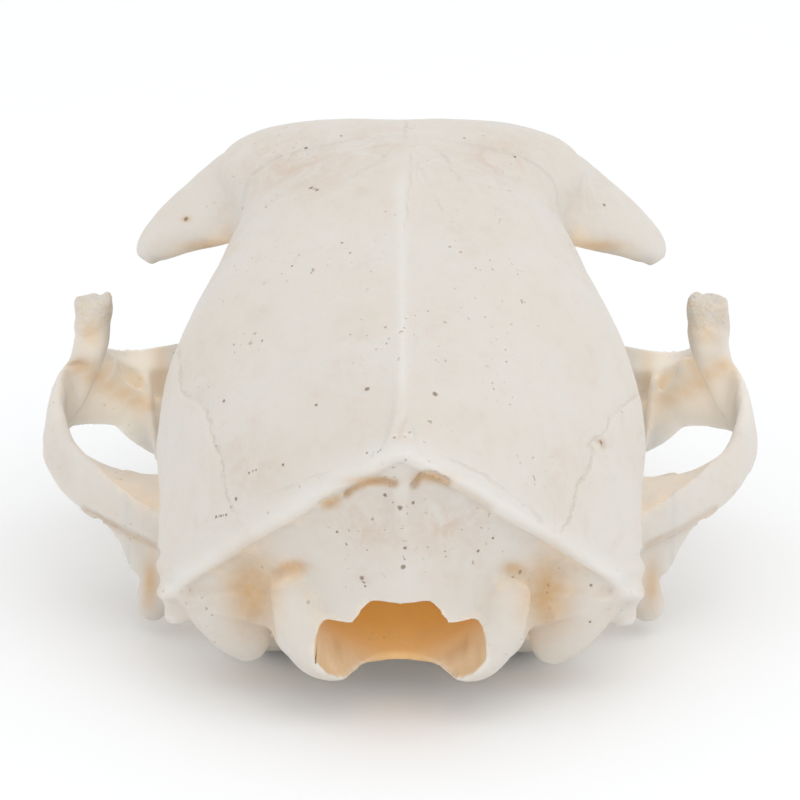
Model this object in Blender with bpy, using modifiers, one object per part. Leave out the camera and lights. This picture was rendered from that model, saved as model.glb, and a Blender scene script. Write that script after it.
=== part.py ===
"""The cranium of a domestic cat, life size, lying as it rests on a table: on its two upper canines and on
the two bullae of the ears. The lower jaw is a separate bone and isn't part of it.

Shapes are worked out in millimetres as (x, s, h): x outwards from the middle plane, s forwards from the
back of the head, h up from the table. The muzzle points to -Y and the animal's left side is +X.
"""

import math

import bmesh
import bpy
import numpy as np
from mathutils import Matrix

MM = 0.001
COLLECTION = "cat_skull"

# Overall size: the line of the roof as (s, h), the crest at the back, the table and the tooth row
MID_LENGTH = 45.93
ROOF_LINE = ((0, 29.5), (4, 31), (10, 34), (20, 38.6), (30, 42.2), (36, 44), (42, 45), (48, 45.3), (54, 44.4),
             (60, 42.3), (66, 38.9), (72, 35.4), (80, 31.6), (88, 28))
NUCHAL_SWEEP, NUCHAL_HALF_WIDTH = 12.0, 20.7
NUCHAL_FOOT, NUCHAL_SPREAD, NUCHAL_POWER = 10.0, 22.3, 1.15
NUCHAL_DEPTH = 2.6
TABLE = 2.8
ALVEOLAR_RISE, ALVEOLAR_START, ALVEOLAR_HEIGHT = 0.105, 20.0, 5.5

# Mesh: the size of the skin's cells, and how many rounds of smoothing each stage gets
VOXEL = 0.4
BROAD_ROUNDS, HOLLOW_ROUNDS, SMOOTHING_ROUNDS = 40, 12, 6
RING_POINTS, BAR_POINTS, TOOTH_POINTS = 48, 24, 10
STATION_STEP = 2.0
BONE_TRIANGLES = 10800
PARTING_GAP = 0.3
SHARP_ANGLE = math.radians(60)

# Bone: linear colour and roughness
BONE, FACE_BONE, ARCH_BONE = (0.72, 0.66, 0.56), (0.74, 0.68, 0.58), (0.75, 0.7, 0.61)
BONE_ROUGHNESS = 0.55

# Where the nodes part: the suture of the brow as (s, h) at the roof and at the base, and the arches' box
SUTURE_ROOF, SUTURE_BASE = (45.0, 45.0), (39.5, 12.0)
ARCH_START, ARCH_TOP = 24.8, 30.4


def roof(s):
    return profile(ROOF_LINE, s)


def alveolar_line(s):
    """Height of the edge of the tooth sockets."""
    return ALVEOLAR_HEIGHT + ALVEOLAR_RISE * (np.asarray(s, float) - ALVEOLAR_START)


def profile(stations, t):
    """A smooth curve through (t, value) stations; the values may be vectors."""
    knots = np.array([station[0] for station in stations], float)
    values = np.array([station[1:] for station in stations], float)
    slopes = np.gradient(values, knots, axis=0)
    t = np.clip(np.asarray(t, float), knots[0], knots[-1])
    i = np.clip(np.searchsorted(knots, t, side="right") - 1, 0, len(knots) - 2)
    span = knots[i + 1] - knots[i]
    u = ((t - knots[i]) / span)[..., None]
    span = span[..., None]
    found = (
        (2 * u**3 - 3 * u**2 + 1) * values[i]
        + (u**3 - 2 * u**2 + u) * span * slopes[i]
        + (3 * u**2 - 2 * u**3) * values[i + 1]
        + (u**3 - u**2) * span * slopes[i + 1]
    )
    return found[..., 0] if found.shape[-1] == 1 else found


def signed_power(value, power):
    return np.sign(value) * np.abs(value) ** power


def oval(half_width, up, down, power_up=2.0, power_down=2.0):
    """A ring (x, h) about its widest line, square-shouldered for powers over 2 and pointed for less."""
    angle = np.linspace(0, 2 * math.pi, RING_POINTS, endpoint=False)
    upper = np.cos(angle) > 0
    power = np.where(upper, 2 / power_up, 2 / power_down)
    x = half_width * signed_power(np.sin(angle), power)
    h = np.where(upper, up, down) * signed_power(np.cos(angle), power)
    return x, h


def linked(name, mesh):
    made = bpy.data.objects.new(name, mesh)
    bpy.context.scene.collection.objects.link(made)
    return made


def in_frame(shape):
    """Moves a bmesh from (x, s, h) in millimetres to the part's frame in metres, with its faces outwards."""
    for vertex in shape.verts:
        x, s, h = vertex.co
        vertex.co = (x * MM, (MID_LENGTH - s) * MM, (h - TABLE) * MM)
    bmesh.ops.recalc_face_normals(shape, faces=shape.faces)
    if shape.calc_volume(signed=True) < 0:
        bmesh.ops.reverse_faces(shape, faces=shape.faces)


def placed(name, shape):
    """An object from a bmesh whose points are (x, s, h)."""
    in_frame(shape)
    mesh = bpy.data.meshes.new(name)
    shape.to_mesh(mesh)
    shape.free()
    return linked(name, mesh)


def loft(name, rings):
    """A closed body through rings of equal count, each end closed to its own middle."""
    count = len(rings[0])
    points = np.concatenate([*rings, [np.mean(rings[0], axis=0)], [np.mean(rings[-1], axis=0)]])
    faces = []
    for ring in range(len(rings) - 1):
        for i in range(count):
            j = (i + 1) % count
            a, b = ring * count, (ring + 1) * count
            faces.append((a + i, a + j, b + j, b + i))
    first, last = len(points) - 2, len(points) - 1
    tail = (len(rings) - 1) * count
    for i in range(count):
        j = (i + 1) % count
        faces.append((first, j, i))
        faces.append((last, tail + i, tail + j))
    shape = bmesh.new()
    corners = [shape.verts.new(point) for point in points]
    for face in faces:
        shape.faces.new([corners[i] for i in face])
    return placed(name, shape)


def sections(name, start, end, shape):
    """A loft along s; shape(s) gives the ring's x and h."""
    rings = []
    for s in np.linspace(start, end, max(3, round((end - start) / STATION_STEP) + 1)):
        x, h = shape(s)
        rings.append(np.stack([x, np.full_like(x, s), h], axis=1))
    return loft(name, rings)


def sweep(name, stations, steps, across=None, around=BAR_POINTS):
    """A bar along a path. Each station is (x, s, h, half-width across, half-height, lean): the section is an
    oval whose first axis is level, or along `across`, and whose second is square to it and to the path. The
    lean, in degrees, may be left out; it tips the oval's top away from the first axis."""
    knots = [(i, *station) for i, station in enumerate(stations)]
    rings = []
    angle = np.linspace(0, 2 * math.pi, around, endpoint=False)
    for t in np.linspace(0, len(stations) - 1, steps):
        here = profile(knots, t)
        ahead = profile(knots, t + 0.02)[:3] - profile(knots, t - 0.02)[:3]
        ahead /= np.linalg.norm(ahead)
        side = np.cross(ahead, (0, 0, 1)) if across is None else np.asarray(across, float)
        side = side - ahead * side.dot(ahead)
        side /= np.linalg.norm(side)
        up = np.cross(side, ahead)
        lean = math.radians(here[5]) if len(here) > 5 else 0.0
        side, up = side * math.cos(lean) + up * math.sin(lean), up * math.cos(lean) - side * math.sin(lean)
        across_ring = np.outer(np.cos(angle) * here[3], side)
        up_ring = np.outer(np.sin(angle) * here[4], up)
        rings.append(here[:3] + across_ring + up_ring)
    return loft(name, rings)


def ball(name, centre, radii, turn=(0, 0, 0)):
    """An ellipsoid; turn is in degrees about the x, s and h axes."""
    shape = bmesh.new()
    place = Matrix.Translation(centre)
    for axis, degrees in zip("ZYX", reversed(turn)):
        place = place @ Matrix.Rotation(math.radians(degrees), 4, axis)
    place = place @ Matrix.Diagonal((*radii, 1))
    half = RING_POINTS // 2
    bmesh.ops.create_uvsphere(shape, u_segments=RING_POINTS, v_segments=half, radius=1, matrix=place)
    return placed(name, shape)


def block(name, low, high):
    """A box between two (x, s, h) corners."""
    low, high = np.array(low, float), np.array(high, float)
    shape = bmesh.new()
    place = Matrix.Translation((low + high) / 2) @ Matrix.Diagonal((*(high - low), 1))
    bmesh.ops.create_cube(shape, size=1, matrix=place)
    return placed(name, shape)


def both_sides(left):
    """The shape on the left side and its mirror image on the right."""
    mesh = left.data.copy()
    mesh.transform(Matrix.Scale(-1, 4, (1, 0, 0)))
    mesh.flip_normals()
    return [left, linked(left.name + "_right", mesh)]


# The braincase


def nuchal_sweep(x):
    """How far forward the crest at the back of the skull has run at x."""
    return NUCHAL_SWEEP * (np.abs(x) / NUCHAL_HALF_WIDTH) ** 1.4


def vault():
    half_width = ((0, NUCHAL_SPREAD), (6, 21.9), (12, 21.6), (18, 21.9), (24, 22), (28, 21.4), (32, 20.2),
                  (36, 18.8), (40, 17.6), (44, 16.4), (48, 13.5), (52, 9.5))
    widest_height = ((0, NUCHAL_FOOT), (6, 14), (12, 17.5), (18, 20), (24, 21.5), (30, 24), (36, 27),
                     (42, 30), (48, 32), (52, 33))
    floor = ((0, 11), (6, 9), (12, 7.6), (20, 8), (30, 10), (40, 13), (52, 18))
    drop = ((0, 0), (40, 0), (46, 0.2), (49, 1.2), (52, 4))
    peak = ((0, NUCHAL_POWER), (4, 1.35), (8, 1.6), (14, 1.85), (20, 2.05), (30, 2.15), (52, 2.1))
    keel = ((0, 2), (20, 2), (30, 1.8), (40, 1.45), (52, 1.5))
    rings = []
    for u in np.linspace(0, 52, round(52 / STATION_STEP) + 1):
        middle = profile(widest_height, u)
        x, h = oval(profile(half_width, u), roof(u) - profile(drop, u) - middle, middle - profile(floor, u),
                    profile(peak, u), profile(keel, u))
        rings.append(np.stack([x, u + nuchal_sweep(x) * max(0, 1 - u / 26), h + middle], axis=1))
    # The back is hollow between the crest and the great opening.
    centre = np.array([0, 0, 15.0])
    inner = []
    for share in (0.12, 0.3, 0.5, 0.68, 0.82, 0.92, 0.97):
        ring = centre + (rings[0] - centre) * share
        ring[:, 1] = nuchal_sweep(ring[:, 0]) + NUCHAL_DEPTH * (1 - share**6)
        inner.append(ring)
    return loft("vault", inner + rings)


def condyle():
    """The condyle beside the great opening: its outer edge is crisp and it slopes in to the opening's rim."""
    stations = ((9.0, 7.0, 15.1, 1.1, 1.3, -25), (9.2, 5.9, 14.1, 1.9, 2.4, -28),
                (9.0, 5.4, 12.5, 2.1, 2.55, -30), (8.1, 5.2, 10.6, 2.1, 2.3, -30),
                (6.9, 5.1, 8.9, 2.1, 2.0, -20), (5.5, 5.6, 8.4, 2.2, 1.7, 0), (3.6, 8.2, 8.3, 1.4, 1.1, 0))
    return sweep("condyle", stations, 24, across=(0, 1, 0))


def condyle_neck():
    return ball("condyle_neck", (8.3, 9.3, 11.4), (3.1, 4.6, 4.3))


def paroccipital():
    stations = ((15, 12.8, 12.7, 5.3, 3), (14.4, 12.5, 10.5, 3.9, 2.2), (13.5, 12.4, 8.6, 2.5, 1.6),
                (13, 12.5, 7, 1.4, 1.2), (12.8, 12.6, 5.6, 0.8, 0.8))
    return sweep("paroccipital", stations, 14, across=(1, 0, 0))


def mastoid():
    """The plate at each lower corner of the back of the skull."""
    stations = ((19.4, 16.6, 16.4, 1.2, 2.0), (19.6, 15.9, 14, 1.9, 2.8), (19.3, 15.4, 11.4, 2.1, 2.8),
                (19.1, 15, 9.6, 1.9, 2.1), (18.9, 15, 8.7, 1.3, 1.3))
    return sweep("mastoid", stations, 16, across=(1, 0, 0))


def bulla():
    return ball("bulla", (10.8, 24.8, 8.6), (5.7, 9, 5.9), (0, 0, 9))


def ear_rim():
    """The short bony tube of the outer ear, on the side of the bulla."""
    return ball("ear_rim", (15.6, 21.4, 10.4), (3.6, 3.6, 3.7))


def base():
    """The bar of bone along the underside, from the great opening to the back of the nose."""
    width = ((4, 7.6), (9, 7), (14, 6.5), (22, 5.2), (30, 5.6), (40, 5.8), (52, 6.2))
    under = ((4, 7.2), (9, 7.1), (14, 6.9), (22, 7.6), (30, 9.3), (40, 12), (52, 15))

    def shape(s):
        x, h = oval(profile(width, s), 3.5, 1.6, 2, 3)
        return x, h + profile(under, s) + 1.6

    return sections("base", 4, 52, shape)


def crest_height(x):
    rise = (1 - (abs(x) / NUCHAL_SPREAD) ** NUCHAL_POWER) ** (1 / NUCHAL_POWER)
    return NUCHAL_FOOT + (roof(0) - NUCHAL_FOOT) * rise


def base_notch():
    """The arched notch in the lower rim of the great opening, between the condyles."""
    return ball("base_notch", (0, 1.5, 5), (5.2, 8.8, 7.4))


def nuchal_crest():
    """The raised rim round the back of the braincase: a blade that points backwards."""
    stations = []
    for x in np.linspace(-20.8, 20.8, 41):
        stations.append((x, nuchal_sweep(x) + 1.0, crest_height(x) - 0.35, 1.3, 0.8))
    return sweep("nuchal_crest", stations, 80, across=(0, 1, 0))


def occipital_ridge():
    """The low ridge from the peak of the crest down the middle of the back."""
    stations = ((0, 1.4, 29, 1.6, 1.0), (0, 1.7, 26.5, 0.9, 0.9), (0, 2.3, 24, 0.6, 0.8),
                (0, 2.9, 20.5, 0.5, 0.5))
    return sweep("occipital_ridge", stations, 14, across=(1, 0, 0))


def sagittal_crest():
    """The low keel along the middle of the roof."""
    rise = ((1, 0.9), (6, 0.6), (14, 0.45), (26, 0.4), (38, 0.1))
    stations = [(0, s, roof(s) - 0.5, 0.55, 0.5 + profile(rise, s)) for s in range(1, 39, 3)]
    return sweep("sagittal_crest", stations, 40, across=(1, 0, 0))


def temporal_root():
    """The shelf over the jaw joint, a little higher along its front edge."""
    stations = ((11.5, 28.4, 14.4, 5.4, 1.6, 0), (16.5, 28.6, 13.9, 6.2, 2.0, -5),
                (20, 29.4, 13.9, 5.4, 1.6, -12), (23.2, 30.2, 14.2, 4.5, 1.3, -16),
                (25.8, 31.4, 14.8, 3.2, 1.2, -16), (28.2, 33.4, 15.5, 2.1, 1.2, -10),
                (30.3, 35.8, 16.3, 1.3, 1.3, 0))
    return sweep("temporal_root", stations, 28)


def temporal_blade():
    """The upright blade at the back of the shelf, which goes on as the arch."""
    stations = ((18.6, 23.4, 12.9, 0.9, 2.0, 0), (22.2, 25.9, 13.5, 0.8, 1.9, 0),
                (24, 26.8, 14.1, 0.75, 1.85, 4), (25.6, 27.9, 14.7, 0.7, 2.0, 8),
                (27.2, 29.3, 15.2, 0.7, 2.15, 12), (29, 31.4, 15.9, 0.75, 2.3, 18),
                (30.7, 34.2, 16.6, 0.8, 2.1, 25), (31.9, 38, 17.2, 0.85, 2.1, 22),
                (32.5, 42, 18, 0.85, 2.4, 10), (32.3, 46, 18.3, 0.85, 2.9, 0))
    return sweep("temporal_blade", stations, 40)


def joint_front():
    """The bar in front of the jaw joint's trough."""
    stations = ((11, 33, 15.2, 1.1, 1.0), (15.5, 33.3, 14.6, 1.7, 1.5), (20, 34, 13.7, 1.7, 1.6),
                (23.5, 34.6, 14.0, 1.4, 1.4), (26, 35.2, 14.9, 1.1, 1.1))
    return sweep("joint_front", stations, 20)


def retroarticular():
    """The sheet behind the jaw joint, which ends in a blunt knob."""
    stations = ((20.8, 27.6, 13.6, 5.4, 1.0), (20.7, 27.2, 11.6, 5.2, 1.2), (20.9, 27.1, 9.6, 3.7, 1.3),
                (21.5, 27.3, 8, 2.6, 1.35), (22.2, 27.5, 6.6, 1.85, 1.35), (22.7, 27.6, 5.2, 1.6, 1.35),
                (22.9, 27.7, 4.2, 0.95, 0.95))
    return sweep("retroarticular", stations, 20, across=(1, 0.42, 0))


# The face


def frontal():
    half_width = ((38, 9), (42, 13), (46, 16), (49, 17.3), (51, 17.6), (54, 16.6), (57, 14.5), (60, 12.2),
                  (64, 10.4), (70, 9.4))
    depth = ((38, 5), (42, 7), (46, 9), (50, 10), (56, 9), (64, 10), (70, 12))
    sink = ((38, 3.2), (42, 1.2), (45, 0.2), (48, 0), (64, 0), (70, 0.6))
    square = ((38, 2), (45, 2.1), (50, 2.8), (57, 3), (70, 2.2))

    def shape(s):
        top = roof(s) - profile(sink, s)
        below = profile(depth, s)
        x, h = oval(profile(half_width, s), 0.62 * below, below, profile(square, s), 2)
        return x, h + top - 0.62 * below

    return sections("frontal", 38, 70, shape)


def postorbital():
    """The process that hangs behind the eye."""
    stations = ((9, 51.5, 39.4, 6, 4), (14.2, 51, 38.3, 6, 3.2), (18.2, 50.3, 36.5, 5, 2.4),
                (21.3, 49.7, 34.9, 3.6, 1.9), (23.5, 49.1, 33.3, 2.3, 1.4), (24.2, 48.8, 32.2, 1.2, 0.9))
    return sweep("postorbital", stations, 24, across=(0, 1, 0.4))


def interorbital():
    half_width = ((44, 10), (50, 8), (56, 7.4), (62, 8), (68, 9))
    low = ((44, 14), (50, 15), (56, 15.5), (62, 14), (68, 13))

    def shape(s):
        middle, bottom = 27, profile(low, s)
        x, h = oval(profile(half_width, s), roof(s) - 3 - middle, middle - bottom, 2.6, 2.2)
        return x, h + middle

    return sections("interorbital", 44, 68, shape)


def rostrum():
    half_width = ((62, 14.6), (66, 13.2), (70, 11.8), (74, 11.0), (78, 10.9), (82, 11.2), (85, 10.8),
                  (88, 9.2), (91, 6.6))
    widest_height = ((62, 21), (70, 19.4), (78, 17.6), (91, 16.6))
    peak = ((62, 2), (74, 1.9), (82, 2.0), (91, 2.4))
    rings = []
    for s in np.linspace(62, 91, round(29 / STATION_STEP) + 1):
        middle, bottom = profile(widest_height, s), alveolar_line(s) + 2
        x, h = oval(profile(half_width, s), roof(s) - middle, middle - bottom, profile(peak, s), 3)
        # The front end leans back, so that the nasal bones end behind the incisors.
        lean = 0.32 * np.maximum(0, h + middle - 17) * max(0, s - 80) / 11
        rings.append(np.stack([x, s - lean, h + middle], axis=1))
    return loft("rostrum", rings)


def alveolar_ridge():
    """The plate that carries the teeth, as wide as the tooth row."""
    half_width = ((53, 8), (55, 13.5), (57.5, 17.8), (61, 18.6), (65, 17), (70, 14.7), (74, 13.1), (78, 12.3),
                  (82, 12.7), (86, 11), (89, 8.4), (91, 5.4), (92, 2.8))

    def shape(s):
        x, h = oval(profile(half_width, s), 4.2, 1.6, 3, 3.5)
        return x, h + alveolar_line(s) + 1.6

    return sections("alveolar_ridge", 53, 92, shape)


def palate_hollow():
    half_width = ((50, 6), (56, 9.4), (62, 11), (68, 9.6), (74, 8.2), (80, 7.2), (85, 6.4), (89, 3))
    depth = ((50, 4), (56, 3), (66, 2.7), (80, 2.2), (89, 0.6))

    def shape(s):
        x, h = oval(profile(half_width, s), profile(depth, s), 4, 2, 2)
        return x, h + alveolar_line(s)

    return sections("palate_hollow", 50, 89, shape)


def jugal():
    stations = ((32.4, 42, 18.1, 0.85, 2.5, 8), (32.3, 46.5, 18.3, 0.9, 2.95, 0),
                (31.6, 50.6, 18.3, 1.0, 3.45, 0), (30.2, 55.2, 17.5, 1.15, 3.75, 0),
                (28, 59.4, 16.6, 1.3, 3.9, 0), (24.7, 62.9, 15.5, 1.7, 4.1, 0),
                (20.6, 65, 15.2, 2.7, 4.3, 0), (16.5, 66.6, 15.8, 3.8, 5, 0), (12, 68.4, 16.5, 4, 5, 0))
    return sweep("jugal", stations, 34)


def canine_bulge():
    """The long swelling over the canine's root."""
    stations = ((10.9, 83, 11.5, 1.9, 2.9), (10.5, 82, 14, 1.9, 3.0), (9.9, 80.4, 17.4, 1.8, 2.8),
                (9.1, 78.6, 20.6, 1.5, 2.2), (8.4, 77.2, 23, 1.0, 1.4))
    return sweep("canine_bulge", stations, 18, across=(1, 0, 0))


def maxillary_root():
    """The thick front end of the arch, over the last cheek teeth."""
    stations = ((15, 61.4, 12.0, 3.9, 2.8), (19, 61, 11.7, 4.0, 2.8), (22, 60.4, 11.6, 3.8, 2.9),
                (24.6, 59.6, 12.6, 3.2, 2.5), (27, 59.0, 14.3, 2.1, 1.8))
    return sweep("maxillary_root", stations, 20, across=(0, 1, 0))


def jugal_process():
    """The blunt process behind the eye, flat on top."""
    stations = ((31.2, 53, 18, 5, 1.0), (30.3, 52.6, 20.6, 4.0, 1.35), (29.7, 52.1, 22.6, 3.3, 1.6),
                (29.4, 51.8, 24.4, 2.7, 1.75), (29.3, 51.5, 26.4, 2.2, 1.85), (29.2, 51.4, 28.2, 1.8, 1.9))
    return sweep("jugal_process", stations, 18, across=(0, 1, 0))


def orbit_ridge():
    """The thin ridge that runs down from the rim of the orbit behind the cheek tooth."""
    stations = ((25.8, 65, 19, 0.4, 0.8), (25.3, 62, 18.2, 0.45, 1.0), (24.7, 59, 16.6, 0.45, 1.3),
                (24.3, 57.2, 14.4, 0.45, 1.3), (23.8, 56, 12, 0.45, 1.2), (23.3, 55.4, 9.8, 0.4, 0.8))
    return sweep("orbit_ridge", stations, 20, across=(1, 0, 0))


def palatine_plate():
    """The thin wall on each side of the back of the nasal passage, which ends in a small hook."""
    stations = ((5.9, 55, 14, 0.9, 4.6), (5.4, 50, 13.4, 0.7, 4.5), (5.0, 45, 12.6, 0.55, 4.2),
                (4.8, 40, 11.4, 0.5, 3.5), (4.8, 37, 10.3, 0.5, 2.4), (4.9, 35.2, 9.2, 0.5, 1.3),
                (5.0, 33.8, 8.3, 0.45, 0.6))
    return sweep("palatine_plate", stations, 24, across=(1, 0, 0))


def orbit_hollow():
    return ball("orbit_hollow", (19.8, 59, 27.6), (11.2, 10.6, 11.4))


# The teeth: each cusp is (x, s, drop below the socket's edge, half-width, half-length, bluntness)
CANINE = ((10.4, 82.6, 17, 1.9, 2.6), (10.7, 83, 12.4, 2.0, 2.7), (10.9, 82.8, 9.5, 1.75, 2.25),
          (10.7, 82.3, 6.8, 1.35, 1.65), (10.3, 81.6, 4.4, 0.9, 1.05), (10, 81.2, 2.6, 0.42, 0.48))
CUSPS = {
    "incisor_1": ((1.05, 91.3, 2.1, 0.85, 0.85, 0.6),),
    "incisor_2": ((2.9, 90.9, 2.3, 0.9, 0.9, 0.55),),
    "incisor_3": ((5, 89.8, 3.2, 1.15, 1.2, 0.3),),
    "premolar_2": ((12.1, 77.4, 1.7, 0.85, 1.1, 0.2),),
    "premolar_3": ((12.5, 75.2, 1.9, 1.1, 1.5, 0.2), (13.1, 72.6, 4.9, 1.5, 2.9, 0.12),
                   (13.9, 70.2, 2.6, 1.3, 1.6, 0.2)),
    "premolar_4": ((14.5, 68.6, 3.0, 1.3, 1.5, 0.2), (15.4, 65.8, 6.4, 1.7, 2.9, 0.12),
                   (17, 61.6, 4.3, 1.35, 3.5, 0.5), (12.8, 67.3, 2.2, 1.5, 1.4, 0.2)),
    "molar_1": ((16, 57.4, 1.5, 2.0, 0.95, 0.3),),
}
TOOTH_ROOT = 3.5


def canine():
    return sweep("canine", CANINE, 12, across=(1, 0, 0), around=TOOTH_POINTS)


def cusp(name, x, s, drop, half_width, half_length, blunt):
    """A point of a tooth: a cone that runs up into the socket, with its tip as broad as `blunt` says."""
    edge = alveolar_line(s)
    outline = ((TOOTH_ROOT, 0.8, 0.8), (0, 1, 1), (-0.3 * drop, 0.95, 0.88 + 0.1 * blunt),
               (-0.65 * drop, 0.7, 0.52 + 0.4 * blunt), (-0.9 * drop, 0.4, 0.26 + 0.6 * blunt),
               (-drop, 0.15, 0.08 + 0.5 * blunt))
    stations = [(x, s, edge + rise, wide * half_width, long * half_length) for rise, wide, long in outline]
    return sweep(name, stations, 9, across=(1, 0, 0), around=TOOTH_POINTS)


def teeth():
    made = both_sides(canine())
    for name, cusps in CUSPS.items():
        for i, size in enumerate(cusps):
            made += both_sides(cusp(f"{name}_{i}", *size))
    return made


# Openings


def great_opening():
    """The foramen magnum with the chamber of the brain behind it. Its upper rim is scalloped, and its floor
    is a gutter. Each station is s, half-width, top, bottom and how square the floor is."""
    stations = ((-3, 7.3, 14.7, 3.0, 1.25), (3, 7.3, 14.7, 4.0, 1.25), (6, 7.2, 14.7, 5.3, 1.25),
                (8, 7.2, 14.9, 6.2, 1.3), (10, 7.6, 16.6, 7.3, 1.5), (13, 9, 22, 9, 2),
                (17, 12.5, 29, 11.5, 2.4), (22, 15, 33, 12.5, 2.4), (28, 15.5, 35, 14.5, 2.4),
                (33, 13.5, 35, 18, 2.4), (36, 9, 32, 22, 2.4))
    scallop = ((0, 0), (1.2, 0.1), (2.35, 0.25), (3.3, -0.1), (4, -0.8), (4.8, -1), (5.8, -0.95), (7, -1),
               (9, -1))
    rings = []
    for s, half_width, top, bottom, square in stations:
        middle = bottom + (top - bottom) * 0.5
        x, h = oval(half_width, top - middle, middle - bottom, 3.2, square)
        h += profile(scallop, np.abs(x)) * (h > 0) * max(0, 1 - max(0, s - 8) / 5)
        rings.append(np.stack([x, np.full_like(x, s), h + middle], axis=1))
    return loft("great_opening", rings)


def condylar_hollow():
    """The wide hollow beside each condyle."""
    return ball("condylar_hollow", (14.6, 3.6, 13.4), (4.6, 7.0, 5.8))


def joint_hollow():
    """The trough that the lower jaw hinges in, open below and in front."""
    return ball("joint_hollow", (21.5, 30.7, 10.4), (7, 2.7, 2.8), (0, -12, 10))


def orbit_pocket():
    """The hollow on the inner side of the ridge behind the cheek tooth."""
    return ball("orbit_pocket", (21.6, 57.6, 18.2), (2.5, 5.6, 5.4), (-14, 0, 0))


def ear_opening():
    return ball("ear_opening", (18.6, 21.2, 10.4), (4.2, 2.3, 2.4), (0, 0, -8))


def infraorbital_opening():
    return ball("infraorbital_opening", (14.2, 68.5, 16.4), (1.45, 8, 1.8), (3, 0, -10))


def choana():
    """The way from the back of the nose, between the palate and the base of the skull."""
    half_width = ((48, 3.6), (54, 3.5), (62, 3.0), (67, 1.6))
    height = ((48, 2.0), (54, 1.9), (62, 1.8), (67, 0.8))

    def shape(s):
        x, h = oval(profile(half_width, s), profile(height, s), profile(height, s), 3, 2.5)
        return x, h + 14.9 + 0.05 * (s - 54)

    return sections("choana", 48, 67, shape)


def nasal_aperture():
    """The opening of the nose, rounded above and narrower below."""
    stations = ((94, 5.3, 26.8, 15.6), (89, 5.0, 26.4, 16.6), (85, 4.9, 27.2, 16.2), (80, 4.7, 28.0, 16.2),
                (76, 3.8, 27.0, 17.5))
    rings = []
    for s, half_width, top, bottom in stations:
        middle = bottom + (top - bottom) * 0.55
        x, h = oval(half_width, top - middle, middle - bottom, 2.3, 1.7)
        lean = 0.22 * (h + middle - 20)
        rings.append(np.stack([x, s - lean, h + middle], axis=1))
    return loft("nasal_aperture", rings)


PAIRED_BONES = (condyle, condyle_neck, paroccipital, mastoid, bulla, ear_rim, temporal_root, temporal_blade,
                joint_front, retroarticular, postorbital, jugal, jugal_process, canine_bulge, maxillary_root,
                orbit_ridge, palatine_plate)
PAIRED_HOLLOWS = (orbit_hollow, joint_hollow, orbit_pocket, ear_opening, infraorbital_opening)


# Joining and cutting


def use(obj, kind, **settings):
    """Adds a modifier with these settings and applies it."""
    modifier = obj.modifiers.new(kind.title(), kind)
    for key, value in settings.items():
        setattr(modifier, key, value)
    graph = bpy.context.evaluated_depsgraph_get()
    mesh = bpy.data.meshes.new_from_object(obj.evaluated_get(graph))
    obj.modifiers.clear()
    old = obj.data
    obj.data = mesh
    bpy.data.meshes.remove(old)
    return obj


def remove_all(objects):
    for obj in objects:
        bpy.data.objects.remove(obj)


def combine(target, tools, operation):
    """One Boolean on all the tools at once, which are then removed."""
    group = bpy.data.collections.new("tools")
    for tool in tools:
        group.objects.link(tool)
    use(target, "BOOLEAN", operand_type="COLLECTION", collection=group, operation=operation,
        solver="MANIFOLD")
    remove_all(tools)
    bpy.data.collections.remove(group)
    return target


def rounded(pieces, rounds=SMOOTHING_ROUNDS):
    """The pieces joined to the first, under one skin with their meeting lines rounded."""
    made = combine(pieces[0], pieces[1:], "UNION") if len(pieces) > 1 else pieces[0]
    use(made, "REMESH", mode="VOXEL", voxel_size=VOXEL * MM, adaptivity=0)
    use(made, "SMOOTH", factor=0.5, iterations=rounds)
    return made


def cranium():
    """All the bone as one body: the large forms first, well rounded, then the lesser ones, the hollows and
    the teeth."""
    made = rounded([vault(), base(), frontal(), interorbital(), rostrum(), alveolar_ridge()], BROAD_ROUNDS)
    made = rounded([combine(made, both_sides(condylar_hollow()), "DIFFERENCE")], HOLLOW_ROUNDS)
    bones = [made, nuchal_crest(), occipital_ridge(), sagittal_crest()]
    for make in PAIRED_BONES:
        bones += both_sides(make())
    made = rounded(bones)
    hollows = [great_opening(), base_notch(), nasal_aperture(), choana(), palate_hollow()]
    for make in PAIRED_HOLLOWS:
        hollows += both_sides(make())
    made = rounded([combine(made, hollows, "DIFFERENCE")])
    use(made, "DECIMATE", decimate_type="COLLAPSE", ratio=BONE_TRIANGLES / (2 * len(made.data.polygons)))
    combine(made, teeth(), "UNION")
    return combine(made, [block("below_table", (-60, -20, -20), (60, 120, TABLE))], "DIFFERENCE")


# Parting into nodes


def slab(name, back, front):
    """The space between two planes that lean with the suture of the brow, given by how far ahead of it they
    are."""
    lean = (SUTURE_ROOF[0] - SUTURE_BASE[0]) / (SUTURE_ROOF[1] - SUTURE_BASE[1])
    made = block(name, (-60, SUTURE_BASE[0] + back, -20), (60, SUTURE_BASE[0] + front, 60))
    for vertex in made.data.vertices:
        vertex.co.y -= lean * (vertex.co.z - (SUTURE_BASE[1] - TABLE) * MM)
    return made


def arch_space(side, gap=0.0):
    """The box that holds one zygomatic arch outside its two roots, grown by gap."""
    inner, outer = sorted((side * (ARCH_START - gap), side * 60))
    return block("arch_space", (inner, 15, -20), (outer, 80, ARCH_TOP + gap))


def largest_body(obj):
    """Keeps the biggest of the object's closed surfaces."""
    shape = bmesh.new()
    shape.from_mesh(obj.data)
    left, groups = set(shape.verts), []
    while left:
        group, front = set(), [left.pop()]
        while front:
            vertex = front.pop()
            group.add(vertex)
            for edge in vertex.link_edges:
                other = edge.other_vert(vertex)
                if other in left:
                    left.discard(other)
                    front.append(other)
        groups.append(group)
    keep = max(groups, key=len)
    bmesh.ops.delete(shape, geom=[v for v in shape.verts if v not in keep], context="VERTS")
    shape.to_mesh(obj.data)
    shape.free()
    return obj


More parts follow.
